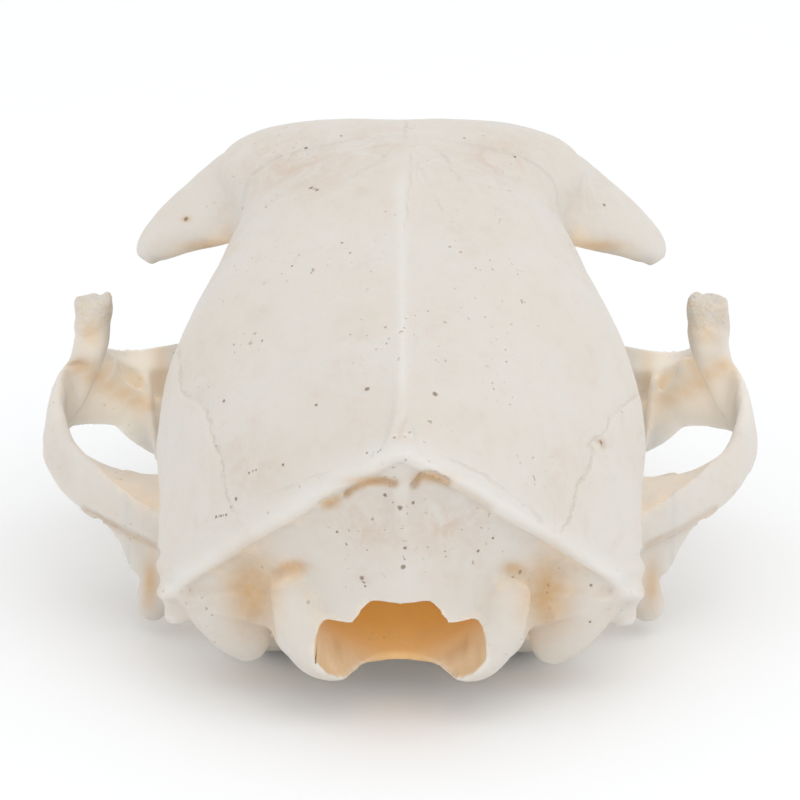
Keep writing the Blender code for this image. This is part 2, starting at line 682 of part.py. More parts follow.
def common(whole, space, name):
    """What of the whole lies in the space, as a new object."""
    return combine(linked(name, whole.data.copy()), [space], "INTERSECT")


def part_into_nodes(whole):
    half, far = PARTING_GAP / 2, 90
    nodes = []
    for name, side in (("zygomatic_arch_left", 1), ("zygomatic_arch_right", -1)):
        nodes.append(common(whole, arch_space(side), name))
        combine(whole, [arch_space(side, PARTING_GAP)], "DIFFERENCE")
    nodes.append(common(whole, slab("front_space", half, far), "face"))
    nodes.append(common(whole, slab("back_space", -far, -half), "braincase"))
    remove_all([whole])
    return [largest_body(node) for node in nodes]


def bone_material(name, colour):
    made = bpy.data.materials.new(name)
    made.use_nodes = True
    shader = made.node_tree.nodes["Principled BSDF"]
    shader.inputs["Base Color"].default_value = (*colour, 1)
    shader.inputs["Roughness"].default_value = BONE_ROUGHNESS
    return made


def finish(nodes):
    """Gives each node its material and smooth shading, in a collection of the skull's own."""
    group = bpy.data.collections.new(COLLECTION)
    bpy.context.scene.collection.children.link(group)
    materials = {
        "braincase": bone_material("bone", BONE),
        "face": bone_material("face_bone", FACE_BONE),
        "zygomatic": bone_material("arch_bone", ARCH_BONE),
    }
    for node in nodes:
        bpy.context.scene.collection.objects.unlink(node)
        group.objects.link(node)
        node.data.materials.clear()
        node.data.materials.append(materials[node.name.split("_")[0]])
        node.data.shade_smooth()
        node.data.set_sharp_from_angle(angle=SHARP_ANGLE)


def main():
    remove_all(list(bpy.data.objects))
    finish(part_into_nodes(cranium()))


main()
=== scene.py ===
"""The looks of the domestic cat's cranium: the bones and teeth as fine surfaces, with their finish, on a
pale floor in soft light.

Shapes are worked out in millimetres as (x, s, h): x outwards from the middle plane, s forwards from the
back of the head, h up. The muzzle points to -Y and the animal's left side is +X.
"""

import math

import bmesh
import bpy
import numpy as np
from mathutils import Matrix, Vector
from mathutils.bvhtree import BVHTree
from mathutils.kdtree import KDTree


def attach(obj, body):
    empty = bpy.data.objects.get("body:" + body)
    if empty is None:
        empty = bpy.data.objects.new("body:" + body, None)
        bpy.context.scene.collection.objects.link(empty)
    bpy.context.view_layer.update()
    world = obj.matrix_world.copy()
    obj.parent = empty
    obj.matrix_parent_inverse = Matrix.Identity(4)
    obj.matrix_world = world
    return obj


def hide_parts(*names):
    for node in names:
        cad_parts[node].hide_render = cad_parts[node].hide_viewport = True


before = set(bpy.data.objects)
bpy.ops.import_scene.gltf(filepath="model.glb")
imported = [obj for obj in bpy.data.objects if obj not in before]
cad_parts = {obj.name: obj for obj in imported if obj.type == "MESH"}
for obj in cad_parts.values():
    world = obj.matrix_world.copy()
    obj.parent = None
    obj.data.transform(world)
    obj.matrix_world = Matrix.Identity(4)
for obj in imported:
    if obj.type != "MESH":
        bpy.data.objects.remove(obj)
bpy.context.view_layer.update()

MM = 0.001

# Overall form: the roof's line as (s, h), the crest at the back, the length of the vault and of its sweep,
# the table, the tooth row, the lean of the nose, the passage behind it, how deep the scallops of the great
# opening go, the suture of the brow as two (s, h) points and the boxes that part off the arches
MID_LENGTH = 45.93
ROOF_LINE = ((0, 29.5), (4, 31), (10, 34), (20, 38.6), (30, 42.2), (36, 44), (42, 45), (48, 45.3), (54, 44.4),
             (60, 42.3), (66, 38.9), (72, 35.4), (80, 31.6), (88, 28))
NUCHAL_SWEEP, NUCHAL_HALF_WIDTH = 12.0, 20.7
NUCHAL_FOOT, NUCHAL_SPREAD, NUCHAL_POWER = 10.0, 22.3, 1.15
NUCHAL_DEPTH, NUCHAL_THICKNESS, NUCHAL_END, KEEL_SINK = 2.6, 0.7, 20.8, 0.5
VAULT_LENGTH, SWEEP_LENGTH = 52, 26
TABLE = 2.8
ALVEOLAR_RISE, ALVEOLAR_START, ALVEOLAR_HEIGHT = 0.105, 20.0, 5.5
NOSE_LEAN, NOSE_FOOT, NOSE_BACK = 0.32, 17, 80
CHOANA_HEIGHT, CHOANA_RISE, CHOANA_BACK = 14.9, 0.05, 54
SCALLOP_DEEP, SCALLOP_FADE = 8, 5
SUTURE_ROOF, SUTURE_BASE = (45.0, 45.0), (39.5, 12.0)
ARCH_START, ARCH_TOP, ARCH_BACK, ARCH_FRONT = 24.8, 30.4, 15, 80

# Mesh: the size of the skin's cells, the rounds of smoothing, points round a ring, and steps along a form
ROUGH_VOXEL, FINE_VOXEL, TOOTH_VOXEL = 0.4, 0.27, 0.14
BROAD_ROUNDS, HOLLOW_ROUNDS, JOIN_ROUNDS, FINE_ROUNDS, TOOTH_ROUNDS = 40, 12, 7, 4, 3
SMOOTH_SHARE, MEASURE_ROUNDS = 0.5, 60
RING_POINTS, BAR_POINTS = 96, 24
STATION_STEP, PATH_STEP = 2.0, 0.02
ACROSS, ALONG = (1, 0, 0), (0, 1, 0)
SHARP_ANGLE = math.radians(50)

# Surface: where the rim of the great opening ends, half the crest's width, waves along the mastoid's lower
# edge, how far a scale's edge and the jaw muscle's line stand up, and the depth of a full groove
RIM_START, CREST_REACH = 2.4, 20.4
EDGE_PERIOD, EDGE_WAVE = 2.5, 0.2
SCALE_EDGE, MUSCLE_LINE, DEEPEST_GROOVE = 0.3, 0.09, 0.5
# Roughness: height, size of the bumps and seed
SKIN_ROUGHNESS = ((0.09, 11, 1), (0.035, 4, 2), (0.012, 1.4, 3))
CREST_ROUGHNESS, PROCESS_ROUGHNESS = ((0.05, 1.6, 4), (0.08, 3.5, 5)), ((0.07, 1.2, 6), (0.07, 2.6, 7))
# Shade: every how many points rays are cast, how many from each, from how far above it and how far, in
# metres, and how many of those points the others take the mean of
SHADE_STEP, SHADE_RAYS, SHADE_LIFT, SHADE_REACH, SHADE_NEIGHBOURS = 10, 16, 0.0003, 0.016, 6
SHADE_SEED = 9
SUTURE_REACH = 4
# Half the size of a box that holds the whole skull, and its floor
WIDE, LOW = 60, -20
FAR = 1e3

# The teeth: stations of the canine as for a sweep, and each cusp as x, s, drop below the socket's edge,
# half-width, half-length and bluntness
CANINE = ((9.9, 82.2, 17, 1, 1.5), (10.3, 82.8, 13.8, 1.45, 2), (10.7, 83, 12.2, 1.95, 2.6),
          (10.9, 82.8, 9.5, 1.75, 2.25), (10.7, 82.3, 6.8, 1.35, 1.65), (10.3, 81.6, 4.4, 0.9, 1.05),
          (10, 81.2, 2.85, 0.42, 0.48))
CUSPS = {
    "incisor_1": ((1.05, 91.3, 2.1, 0.85, 0.85, 0.6),),
    "incisor_2": ((2.9, 90.9, 2.3, 0.9, 0.9, 0.55),),
    "incisor_3": ((5, 89.8, 3.2, 1.15, 1.2, 0.3),),
    "premolar_2": ((12.1, 77.4, 1.7, 0.85, 1.1, 0.2),),
    "premolar_3": ((12.5, 75.2, 1.9, 1.1, 1.5, 0.2), (13.1, 72.6, 4.9, 1.5, 2.9, 0.12),
                   (13.9, 70.2, 2.6, 1.3, 1.6, 0.2)),
    "premolar_4": ((14.5, 68.6, 3, 1.3, 1.5, 0.2), (15.4, 65.8, 6.4, 1.7, 2.9, 0.12),
                   (17, 61.6, 4.3, 1.35, 3.5, 0.5), (12.8, 67.3, 2.2, 1.5, 1.4, 0.2)),
    "molar_1": ((16, 57.4, 1.5, 2, 0.95, 0.3),),
}
TOOTH_ROOT = 1.3

# Small holes: x, s, h, radius across and half-length along s
FORAMINA = ((8.2, 13.5, 7.2, 0.9, 1.4), (12.2, 15.5, 7.6, 1.3, 1.8), (2.6, 85.2, 11.2, 1.3, 2.4),
            (8, 50.5, 22.5, 1.2, 2.4))
# The nose's septum as a box, and the scrolls: x, h, outer and inner radius, and how far each curls
SEPTUM = (-0.32, 74.5, 15), (0.32, 83.5, 25.5)
CONCHA_MIDDLE, CONCHA_REACH, CONCHA_THICKNESS = 79.5, 5, 0.66
CONCHAE = ((2.55, 24.3, 2.3, 0.85, 320), (2.45, 20.5, 2.1, 0.75, -320))
# Pits: x, s, h, radius and depth
PITS = ((0.2, 2.4, 22.5, 0.3, 0.3), (0.3, 3.2, 18.8, 0.3, 0.3), (0.2, 3.3, 17.2, 0.3, 0.3))

# Lines on the bone: in (x, s) from above ("top") or below ("under"), or in pixels in the main view ("seen")
TEMPORAL_LINE = ((21, 51), (16, 47.5), (10, 44), (5, 41.5), (1.4, 37), (0.8, 30))
LEFT_SCALE = ((180, 360), (183, 392), (200, 402), (209, 418), (214, 440), (222, 461), (226, 492), (242, 522))
RIGHT_SCALE = ((628, 402), (612, 415), (606, 430), (590, 442), (593, 453), (586, 472), (577, 487), (572, 511),
               (564, 528))
SUTURES = (
    ("seen", LEFT_SCALE, 0.9),
    ("seen", RIGHT_SCALE, 1),
    ("seen", ((406, 118), (405, 131), (406, 145)), 0.9),
    ("seen", ((352, 176), (366, 168), (384, 158), (392, 147), (406, 145), (424, 145), (436, 150)), 0.5),
    ("seen", ((436, 150), (446, 159), (452, 169), (460, 178)), 0.6),
    ("seen", ((438, 202), (443, 212), (452, 219)), 0.5),
    ("seen", ((411, 158), (410, 182), (407, 206), (405, 222)), 0.55),
    ("seen", ((419, 164), (424, 176)), 0.4),
    ("seen", ((451, 460), (480, 473), (508, 493), (530, 510), (544, 524)), 0.7),
    ("seen", ((320, 474), (302, 481), (284, 489)), 0.5),
    ("seen", ((70, 364), (76, 363), (84, 364)), 1),
    ("seen", ((95, 514), (106, 520), (118, 526)), 0.9),
    ("top", ((0, 56), (0.1, 64), (0, 72), (0.1, 80), (0, 88)), 0.8),
    ("top", ((3.1, 88), (3.6, 80), (4.2, 72), (3.4, 64), (0.6, 59)), 0.5),
    ("under", ((0, 56), (0, 70), (0, 90)), 0.8),
    ("under", ((0, 66), (4, 66.5), (8, 64), (10.5, 60)), 0.7),
    ("under", ((4.6, 31), (5.4, 36), (6, 42)), 0.6),
    ("under", ((0, 33.5), (3, 33.4), (5.4, 33)), 0.5),
)
# Grooves in the main view: a line in pixels, half-width and depth in millimetres
GROOVES = (
    (((346, 495), (358, 486), (372, 481), (384, 481), (394, 484)), 0.3, 0.5),
    (((415, 485), (419, 478), (426, 475), (436, 478), (448, 483)), 0.3, 0.5),
    (((326, 504), (331, 503), (337, 499)), 0.45, 0.3),
    (((450, 484), (470, 494), (489, 507)), 0.35, 0.12),
    (((406, 420), (402, 428), (400, 436)), 0.3, 0.1),
    (((276, 574), (286, 568), (299, 567)), 0.55, 0.3),
    (((511, 568), (516, 569), (523, 572)), 0.55, 0.25),
    (((84, 509), (104, 520), (125, 531), (140, 538), (155, 546)), 0.25, 0.22),
    (((716, 509), (696, 520), (676, 531), (660, 538), (646, 546)), 0.25, 0.2),
    (((598, 441), (602, 442), (603, 446)), 0.3, 0.25),
    (((70, 364), (77, 363), (85, 364)), 0.25, 0.2),
)
# Painted shade in the main view, tan in hollows, under processes and along grooves: centre and half-sizes in
# pixels, and strength
TAN_SHADE_PATCHES = (
    (253, 590, 26, 38, 1), (264, 620, 14, 26, 0.5), (546, 594, 25, 38, 1), (536, 624, 12, 22, 0.5),
    (292, 568, 16, 8, 0.8), (514, 569, 14, 8, 0.6), (150, 583, 8, 24, 0.9), (652, 583, 8, 24, 0.8),
    (82, 367, 15, 9, 0.8), (95, 377, 15, 9, 0.8), (108, 386, 15, 9, 0.8), (122, 394, 15, 8, 0.8),
    (136, 401, 14, 7, 0.7), (148, 406, 10, 6, 0.6), (724, 366, 15, 9, 0.7), (711, 375, 15, 9, 0.7),
    (698, 384, 15, 9, 0.7), (684, 392, 15, 8, 0.7), (670, 399, 14, 7, 0.6),
    (160, 366, 8, 26, 0.5), (648, 372, 8, 26, 0.4), (92, 334, 9, 12, 0.7), (706, 334, 9, 10, 0.6),
    (208, 246, 24, 6, 0.7), (600, 246, 24, 6, 0.7), (186, 219, 5, 3, 0.7),
    (372, 481, 26, 5, 0.7), (432, 478, 20, 6, 0.7), (330, 502, 9, 6, 0.6),
)
# Flushes of pinkish brown in the main view, in the same terms
FLUSHES = (
    (300, 165, 62, 34, 0.9), (372, 144, 26, 16, 0.9), (500, 158, 52, 24, 0.9), (580, 205, 24, 26, 0.6),
    (222, 232, 12, 30, 0.5), (250, 465, 36, 34, 0.6), (345, 370, 26, 80, 0.3), (440, 340, 26, 60, 0.3),
    (560, 470, 26, 40, 0.4), (370, 522, 42, 30, 0.9), (446, 522, 42, 34, 0.9), (362, 575, 14, 10, 0.6),
    (448, 578, 16, 10, 0.6), (130, 470, 24, 10, 0.7), (670, 470, 24, 10, 0.6), (190, 600, 16, 20, 0.6),
    (612, 600, 16, 20, 0.6), (147, 606, 10, 12, 0.5), (60, 470, 14, 40, 0.3), (200, 400, 16, 60, 0.3),
)
# Painted light: a warm glow on thin walls of the orbit and arch, as if light came through them, in the same
# terms
PAINTED_LIGHT_PATCHES = (
    (112, 398, 42, 40, 1), (698, 394, 42, 40, 1), (92, 338, 16, 30, 0.7), (706, 338, 16, 30, 0.6),
    (140, 360, 24, 22, 0.9), (662, 360, 24, 22, 0.9),
)
# Dark specks in the main view: place and radius in pixels
SPECKS = (
    (266, 207, 1.6), (277, 195, 1.2), (311, 188, 2.2), (317, 190, 1.8), (341, 136, 1.4), (306, 148, 1.6),
    (342, 243, 1.3), (350, 253, 1.1), (299, 255, 0.9), (292, 266, 0.9), (367, 389, 2.2), (435, 394, 2.4),
    (316, 405, 1.4), (367, 453, 1.2), (378, 452, 1.2), (236, 499, 1.5), (216, 517, 1.4), (221, 516, 1),
    (226, 515, 1.3), (249, 473, 1.2), (283, 465, 1.5), (256, 470, 1), (400, 508, 2.2), (405, 548, 1.8),
    (403, 567, 2.2), (337, 532, 1.1), (385, 495, 1.8), (413, 503, 1.5), (362, 578, 2), (365, 586, 1.2),
    (493, 538, 1.4), (478, 551, 1.2), (601, 443, 2.2), (604, 205, 1.4), (464, 138, 1.2), (515, 157, 1.4),
    (186, 219, 2.4), (520, 572, 1.8), (513, 577, 1.6), (224, 401, 1.4), (591, 585, 1.4), (590, 622, 1.4),
)

# Colours, linear
IVORY, WARM_BONE, PALE_BONE = (0.695, 0.66, 0.61), (0.69, 0.64, 0.575), (0.715, 0.695, 0.66)
# The last of these is a tan painted shade for hollows, which also mottles the inside of the skull
PINK_BONE, CREST_BONE, TAN_SHADE = (0.62, 0.505, 0.415), (0.74, 0.72, 0.68), (0.60, 0.385, 0.185)
SEAM_BONE, PORE_BONE, SPECK_BONE = (0.50, 0.36, 0.22), (0.36, 0.24, 0.13), (0.22, 0.13, 0.06)
# Painted shade colours: where other bone shuts out light, and along the grooves
SHADE_BONE, GROOVE_SHADE = (0.70, 0.60, 0.475), (0.50, 0.30, 0.13)
# Painted light and shade inside the skull: amber, deeper further in
PAINTED_AMBER, PAINTED_DEEP_AMBER = (0.70, 0.53, 0.33), (0.72, 0.45, 0.14)
# Painted light, as emission colours: inside the skull, where other bone shuts out light, and on thin walls;
# then their strength and none
PAINTED_AMBER_GLOW, GLOW_IN_SHADE, PAINTED_LIGHT_GLOW = (0.50, 0.23, 0.05), (0.42, 0.345, 0.26), (0.84, 0.73, 0.56)
GLOW, NO_GLOW = 0.35, (0.0, 0.0, 0.0)
ENAMEL_COLOUR, ROOT_COLOUR = (0.80, 0.745, 0.635), (0.70, 0.60, 0.45)
# Light that sinks in: its share, how far red, green and blue go, and the scale in millimetres
BONE_DEPTH, ENAMEL_DEPTH = (0.22, (1.0, 0.62, 0.38), 1.2), (0.3, (1.0, 0.8, 0.6), 0.8)
SHEEN, ENAMEL_COAT = 0.4, 0.15

# Studio, in metres
FLOOR_SIZE, FLOOR_GAP, FLOOR_COLOUR, FLOOR_ROUGHNESS = 6.0, 0.0002, (0.96, 0.972, 0.985), 0.9
SKY_COLOUR, SKY_STRENGTH = (1.0, 1.0, 1.0), 0.96
LIGHTS = (
    ("key_light", (-0.32, 0.42, 0.75), (0, 0, 0.02), 0.9, 1.35),
    ("fill_light", (0.35, 0.9, 0.3), (0, 0, 0.02), 0.6, 0.2),
)
CAMERA_DISTANCE, CAMERA_LENS, SENSOR, CLIP_NEAR, CLIP_FAR = 0.4, 199.2, 36.0, 0.01, 20
# The main view: its width and what a millimetre of the skull takes up, and the focal length, in pixels
PICTURE, PICTURE_SCALE = 800, 11.07
FOCAL = PICTURE * CAMERA_LENS / SENSOR
CAMERA_TARGET = (0.00008, 0.01793, 0.02216)
CAMERA_TILT, CAMERA_YAW, CAMERA_ROLL = 17.6, 0.085, 0.221


def roof(s):
    return profile(ROOF_LINE, s)


def alveolar_line(s):
    """Height of the edge of the tooth sockets."""
    return ALVEOLAR_HEIGHT + ALVEOLAR_RISE * (np.asarray(s, float) - ALVEOLAR_START)


def profile(stations, t):
    """A smooth curve through (t, value) stations; the values may be vectors."""
    knots = np.array([station[0] for station in stations], float)
    values = np.array([station[1:] for station in stations], float)
    slopes = np.gradient(values, knots, axis=0)
    t = np.clip(np.asarray(t, float), knots[0], knots[-1])
    i = np.clip(np.searchsorted(knots, t, side="right") - 1, 0, len(knots) - 2)
    span = knots[i + 1] - knots[i]
    u = ((t - knots[i]) / span)[..., None]
    span = span[..., None]
    found = (
        (2 * u**3 - 3 * u**2 + 1) * values[i]
        + (u**3 - 2 * u**2 + u) * span * slopes[i]
        + (3 * u**2 - 2 * u**3) * values[i + 1]
        + (u**3 - u**2) * span * slopes[i + 1]
    )
    return found[..., 0] if found.shape[-1] == 1 else found


def signed_power(value, power):
    return np.sign(value) * np.abs(value) ** power


def oval(half_width, up, down, power_up=2.0, power_down=2.0):
    """A ring (x, h) about its widest line, square-shouldered for powers over 2 and pointed for less."""
    angle = np.linspace(0, 2 * math.pi, RING_POINTS, endpoint=False)
    upper = np.cos(angle) > 0
    power = np.where(upper, 2 / power_up, 2 / power_down)
    x = half_width * signed_power(np.sin(angle), power)
    h = np.where(upper, up, down) * signed_power(np.cos(angle), power)
    return x, h


def linked(name, mesh):
    made = bpy.data.objects.new(name, mesh)
    bpy.context.scene.collection.objects.link(made)
    return made


def in_frame(shape):
    """Moves a bmesh from (x, s, h) to the part's frame in metres, with its faces outwards."""
    for vertex in shape.verts:
        x, s, h = vertex.co
        vertex.co = (x * MM, (MID_LENGTH - s) * MM, (h - TABLE) * MM)
    bmesh.ops.recalc_face_normals(shape, faces=shape.faces)
    if shape.calc_volume(signed=True) < 0:
        bmesh.ops.reverse_faces(shape, faces=shape.faces)


def placed(name, shape):
    """An object from a bmesh whose points are (x, s, h)."""
    in_frame(shape)
    mesh = bpy.data.meshes.new(name)
    shape.to_mesh(mesh)
    shape.free()
    return linked(name, mesh)


def loft(name, rings):
    """A closed body through rings of equal count, each end closed to its own middle."""
    count = len(rings[0])
    points = np.concatenate([*rings, [np.mean(rings[0], axis=0)], [np.mean(rings[-1], axis=0)]])
    faces = []
    for ring in range(len(rings) - 1):
        for i in range(count):
            j = (i + 1) % count
            a, b = ring * count, (ring + 1) * count
            faces.append((a + i, a + j, b + j, b + i))
    first, last = len(points) - 2, len(points) - 1
    tail = (len(rings) - 1) * count
    for i in range(count):
        j = (i + 1) % count
        faces.append((first, j, i))
        faces.append((last, tail + i, tail + j))
    shape = bmesh.new()
    corners = [shape.verts.new(point) for point in points]
    for face in faces:
        shape.faces.new([corners[i] for i in face])
    return placed(name, shape)


def sections(name, start, end, shape):
    """A loft of ovals along s; shape(s) gives an oval's sizes and the height of its widest line."""
    rings = []
    for s in np.linspace(start, end, max(3, round((end - start) / STATION_STEP) + 1)):
        *sizes, middle = shape(s)
        x, h = oval(*sizes)
        rings.append(np.stack([x, np.full_like(x, s), h + middle], axis=1))
    return loft(name, rings)


def sweep(name, stations, steps, across=None, power=2.0):
    """A bar along a path. Each station is (x, s, h, half-width, half-height, lean): the section is an oval
    whose first axis is level, or along `across`, and whose second is square to it and to the path. The lean,
    in degrees, may be left out; it tips the oval's top. A power over 2 squares the oval."""
    knots = [(i, *station) for i, station in enumerate(stations)]
    rings = []
    angle = np.linspace(0, 2 * math.pi, BAR_POINTS, endpoint=False)
    for t in np.linspace(0, len(stations) - 1, steps):
        here = profile(knots, t)
        ahead = profile(knots, t + PATH_STEP)[:3] - profile(knots, t - PATH_STEP)[:3]
        ahead /= np.linalg.norm(ahead)
        side = np.cross(ahead, (0, 0, 1)) if across is None else np.asarray(across, float)
        side = side - ahead * side.dot(ahead)
        side /= np.linalg.norm(side)
        up = np.cross(side, ahead)
        lean = math.radians(here[5]) if len(here) > 5 else 0.0
        side, up = side * math.cos(lean) + up * math.sin(lean), up * math.cos(lean) - side * math.sin(lean)
        across_ring = np.outer(signed_power(np.cos(angle), 2 / power) * here[3], side)
        up_ring = np.outer(signed_power(np.sin(angle), 2 / power) * here[4], up)
        rings.append(here[:3] + across_ring + up_ring)
    return loft(name, rings)


def ball(name, centre, radii, turn=(0, 0, 0)):
    """An ellipsoid; turn is in degrees about the x, s and h axes."""
    shape = bmesh.new()
    place = Matrix.Translation(centre)
    for axis, degrees in zip("ZYX", reversed(turn)):
        place = place @ Matrix.Rotation(math.radians(degrees), 4, axis)
    place = place @ Matrix.Diagonal((*radii, 1))
    half = RING_POINTS // 2
    bmesh.ops.create_uvsphere(shape, u_segments=RING_POINTS, v_segments=half, radius=1, matrix=place)
    return placed(name, shape)


def bar(stations, steps, across=None, power=2.0):
    """What makes a sweep through these stations under a given name."""
    return lambda name: sweep(name, stations, steps, across, power)


def lump(*sizes):
    """What makes an ellipsoid of these sizes under a given name."""
    return lambda name: ball(name, *sizes)


def block(name, low, high):
    """A box between two (x, s, h) corners."""
    low, high = np.array(low, float), np.array(high, float)
    shape = bmesh.new()
    place = Matrix.Translation((low + high) / 2) @ Matrix.Diagonal((*(high - low), 1))
    bmesh.ops.create_cube(shape, size=1, matrix=place)
    return placed(name, shape)


def both_sides(left):
    """The shape on the left side and its mirror image on the right."""
    mesh = left.data.copy()
    mesh.transform(Matrix.Scale(-1, 4, (1, 0, 0)))
    mesh.flip_normals()
    return [left, linked(left.name + "_right", mesh)]


# The braincase


def nuchal_sweep(x):
    """How far forward the crest at the back of the skull has run at x."""
    return NUCHAL_SWEEP * (np.abs(x) / NUCHAL_HALF_WIDTH) ** 1.4


def vault():
    half_width = ((0, NUCHAL_SPREAD), (6, 21.9), (12, 21.6), (18, 21.9), (24, 22), (28, 21.4), (32, 20.2),
                  (36, 18.8), (40, 17.6), (44, 16.4), (48, 13.5), (52, 9.5))
    widest_height = ((0, NUCHAL_FOOT), (6, 14), (12, 17.5), (18, 20), (24, 21.5), (30, 24), (36, 27),
                     (42, 30), (48, 32), (52, 33))
    floor = ((0, 11), (6, 9), (12, 7.6), (20, 8), (30, 10), (40, 13), (52, 18))
    drop = ((0, 0), (40, 0), (46, 0.2), (49, 1.2), (52, 4))
    peak = ((0, NUCHAL_POWER), (4, 1.35), (8, 1.6), (14, 1.85), (20, 2.05), (30, 2.15), (52, 2.1))
    keel = ((0, 2), (20, 2), (30, 1.8), (40, 1.45), (52, 1.5))
    rings = []
    for u in np.linspace(0, VAULT_LENGTH, round(VAULT_LENGTH / STATION_STEP) + 1):
        middle = profile(widest_height, u)
        x, h = oval(profile(half_width, u), roof(u) - profile(drop, u) - middle, middle - profile(floor, u),
                    profile(peak, u), profile(keel, u))
        rings.append(np.stack([x, u + nuchal_sweep(x) * max(0, 1 - u / SWEEP_LENGTH), h + middle], axis=1))
    # The back is hollow between the crest and the great opening.
    centre = np.array([0, 0, 15.0])
    inner = []
    for share in (0.12, 0.3, 0.5, 0.68, 0.82, 0.92, 0.97):
        ring = centre + (rings[0] - centre) * share
        ring[:, 1] = nuchal_sweep(ring[:, 0]) + NUCHAL_DEPTH * (1 - share**6)
        inner.append(ring)
    return loft("vault", inner + rings)


def base():
    """The bar of bone along the underside, from the great opening to the back of the nose."""
    width = ((4, 7.6), (9, 7), (14, 6.5), (22, 5.2), (30, 5.6), (40, 5.8), (52, 6.2))
    under = ((4, 7.2), (9, 7.1), (14, 6.9), (22, 7.6), (30, 9.3), (40, 12), (52, 15))
    return sections("base", 4, 52, lambda s: (profile(width, s), 3.5, 1.6, 2, 3, profile(under, s) + 1.6))


def crest_height(x):
    rise = (1 - (abs(x) / NUCHAL_SPREAD) ** NUCHAL_POWER) ** (1 / NUCHAL_POWER)
    return NUCHAL_FOOT + (roof(0) - NUCHAL_FOOT) * rise


def nuchal_crest():
    """The raised rim round the back of the braincase: a blade that points backwards, lower at its ends."""
    half_length = ((0, 1.4), (14, 1.4), (18, 1.1), (20.8, 0.7))
    stations = []
    for x in np.linspace(-NUCHAL_END, NUCHAL_END, 41):
        reach = profile(half_length, abs(x))
        stations.append((x, nuchal_sweep(x) + 1.0, crest_height(x) - 0.6, reach, NUCHAL_THICKNESS))
    return sweep("nuchal_crest", stations, 80, ALONG, 3.0)


def sagittal_crest():
    """The low keel along the middle of the roof, broader where it meets the crest at the back."""
    rise = ((1, 0.9), (6, 0.6), (14, 0.45), (26, 0.4), (38, 0.1))
    half_width = ((1, 1.5), (3, 1.1), (7, 0.6), (38, 0.5))
    stations = []
    for s in range(1, 39, 3):
        stations.append((0, s, roof(s) - KEEL_SINK, profile(half_width, s), KEEL_SINK + profile(rise, s)))
    return sweep("sagittal_crest", stations, 40, ACROSS)


# The face


def frontal():
    half_width = ((38, 9), (42, 13), (46, 16), (49, 17.3), (51, 17.6), (54, 16.6), (57, 14.5), (60, 12.2),
                  (64, 10.4), (70, 9.4))
    depth = ((38, 5), (42, 7), (46, 9), (50, 10), (56, 9), (64, 10), (70, 12))
    sink = ((38, 3.2), (42, 1.2), (45, 0.2), (48, 0), (64, 0), (70, 0.6))
    square = ((38, 2), (45, 2.1), (50, 2.8), (57, 3), (70, 2.2))

    def shape(s):
        above, below = 0.62 * profile(depth, s), profile(depth, s)
        return profile(half_width, s), above, below, profile(square, s), 2, roof(s) - profile(sink, s) - above

    return sections("frontal", 38, 70, shape)


def interorbital():
    half_width = ((44, 10), (50, 8), (56, 7.4), (62, 8), (68, 9))
    low = ((44, 14), (50, 15), (56, 15.5), (62, 14), (68, 13))

    middle = 27

    def shape(s):
        return profile(half_width, s), roof(s) - 3 - middle, middle - profile(low, s), 2.6, 2.2, middle

    return sections("interorbital", 44, 68, shape)


def rostrum():
    half_width = ((62, 14.6), (66, 13.2), (70, 11.8), (74, 11.0), (78, 10.9), (82, 11.2), (85, 10.8),
                  (88, 9.2), (91, 6.6))
    widest_height = ((62, 21), (70, 19.4), (78, 17.6), (91, 16.6))
    peak = ((62, 2), (74, 1.9), (82, 2.0), (91, 2.4))
    back, front = 62, 91
    rings = []
    for s in np.linspace(back, front, round((front - back) / STATION_STEP) + 1):
        middle, bottom = profile(widest_height, s), alveolar_line(s) + 2
        x, h = oval(profile(half_width, s), roof(s) - middle, middle - bottom, profile(peak, s), 3)
        # The front end leans back, so that the nasal bones end behind the incisors.
        lean = NOSE_LEAN * np.maximum(0, h + middle - NOSE_FOOT) * max(0, s - NOSE_BACK) / (front - NOSE_BACK)
        rings.append(np.stack([x, s - lean, h + middle], axis=1))
    return loft("rostrum", rings)


def alveolar_ridge():
    """The plate that carries the teeth, as wide as the tooth row."""
    half_width = ((53, 8), (55, 13.5), (57.5, 17.8), (61, 18.6), (65, 17), (70, 14.7), (74, 13.1), (78, 12.3),
                  (82, 12.7), (86, 11), (89, 8.4), (91, 5.4), (92, 2.8))

    def shape(s):
        return profile(half_width, s), 4.2, 1.6, 3, 3.5, alveolar_line(s) + 1.6

    return sections("alveolar_ridge", 53, 92, shape)


def palate_hollow():
    half_width = ((50, 6), (56, 9.4), (62, 11), (68, 9.6), (74, 8.2), (80, 7.2), (85, 6.4), (89, 3))
    depth = ((50, 4), (56, 3), (66, 2.7), (80, 2.2), (89, 0.6))

    def shape(s):
        return profile(half_width, s), profile(depth, s), 4, 2, 2, alveolar_line(s)

    return sections("palate_hollow", 50, 89, shape)


# Openings


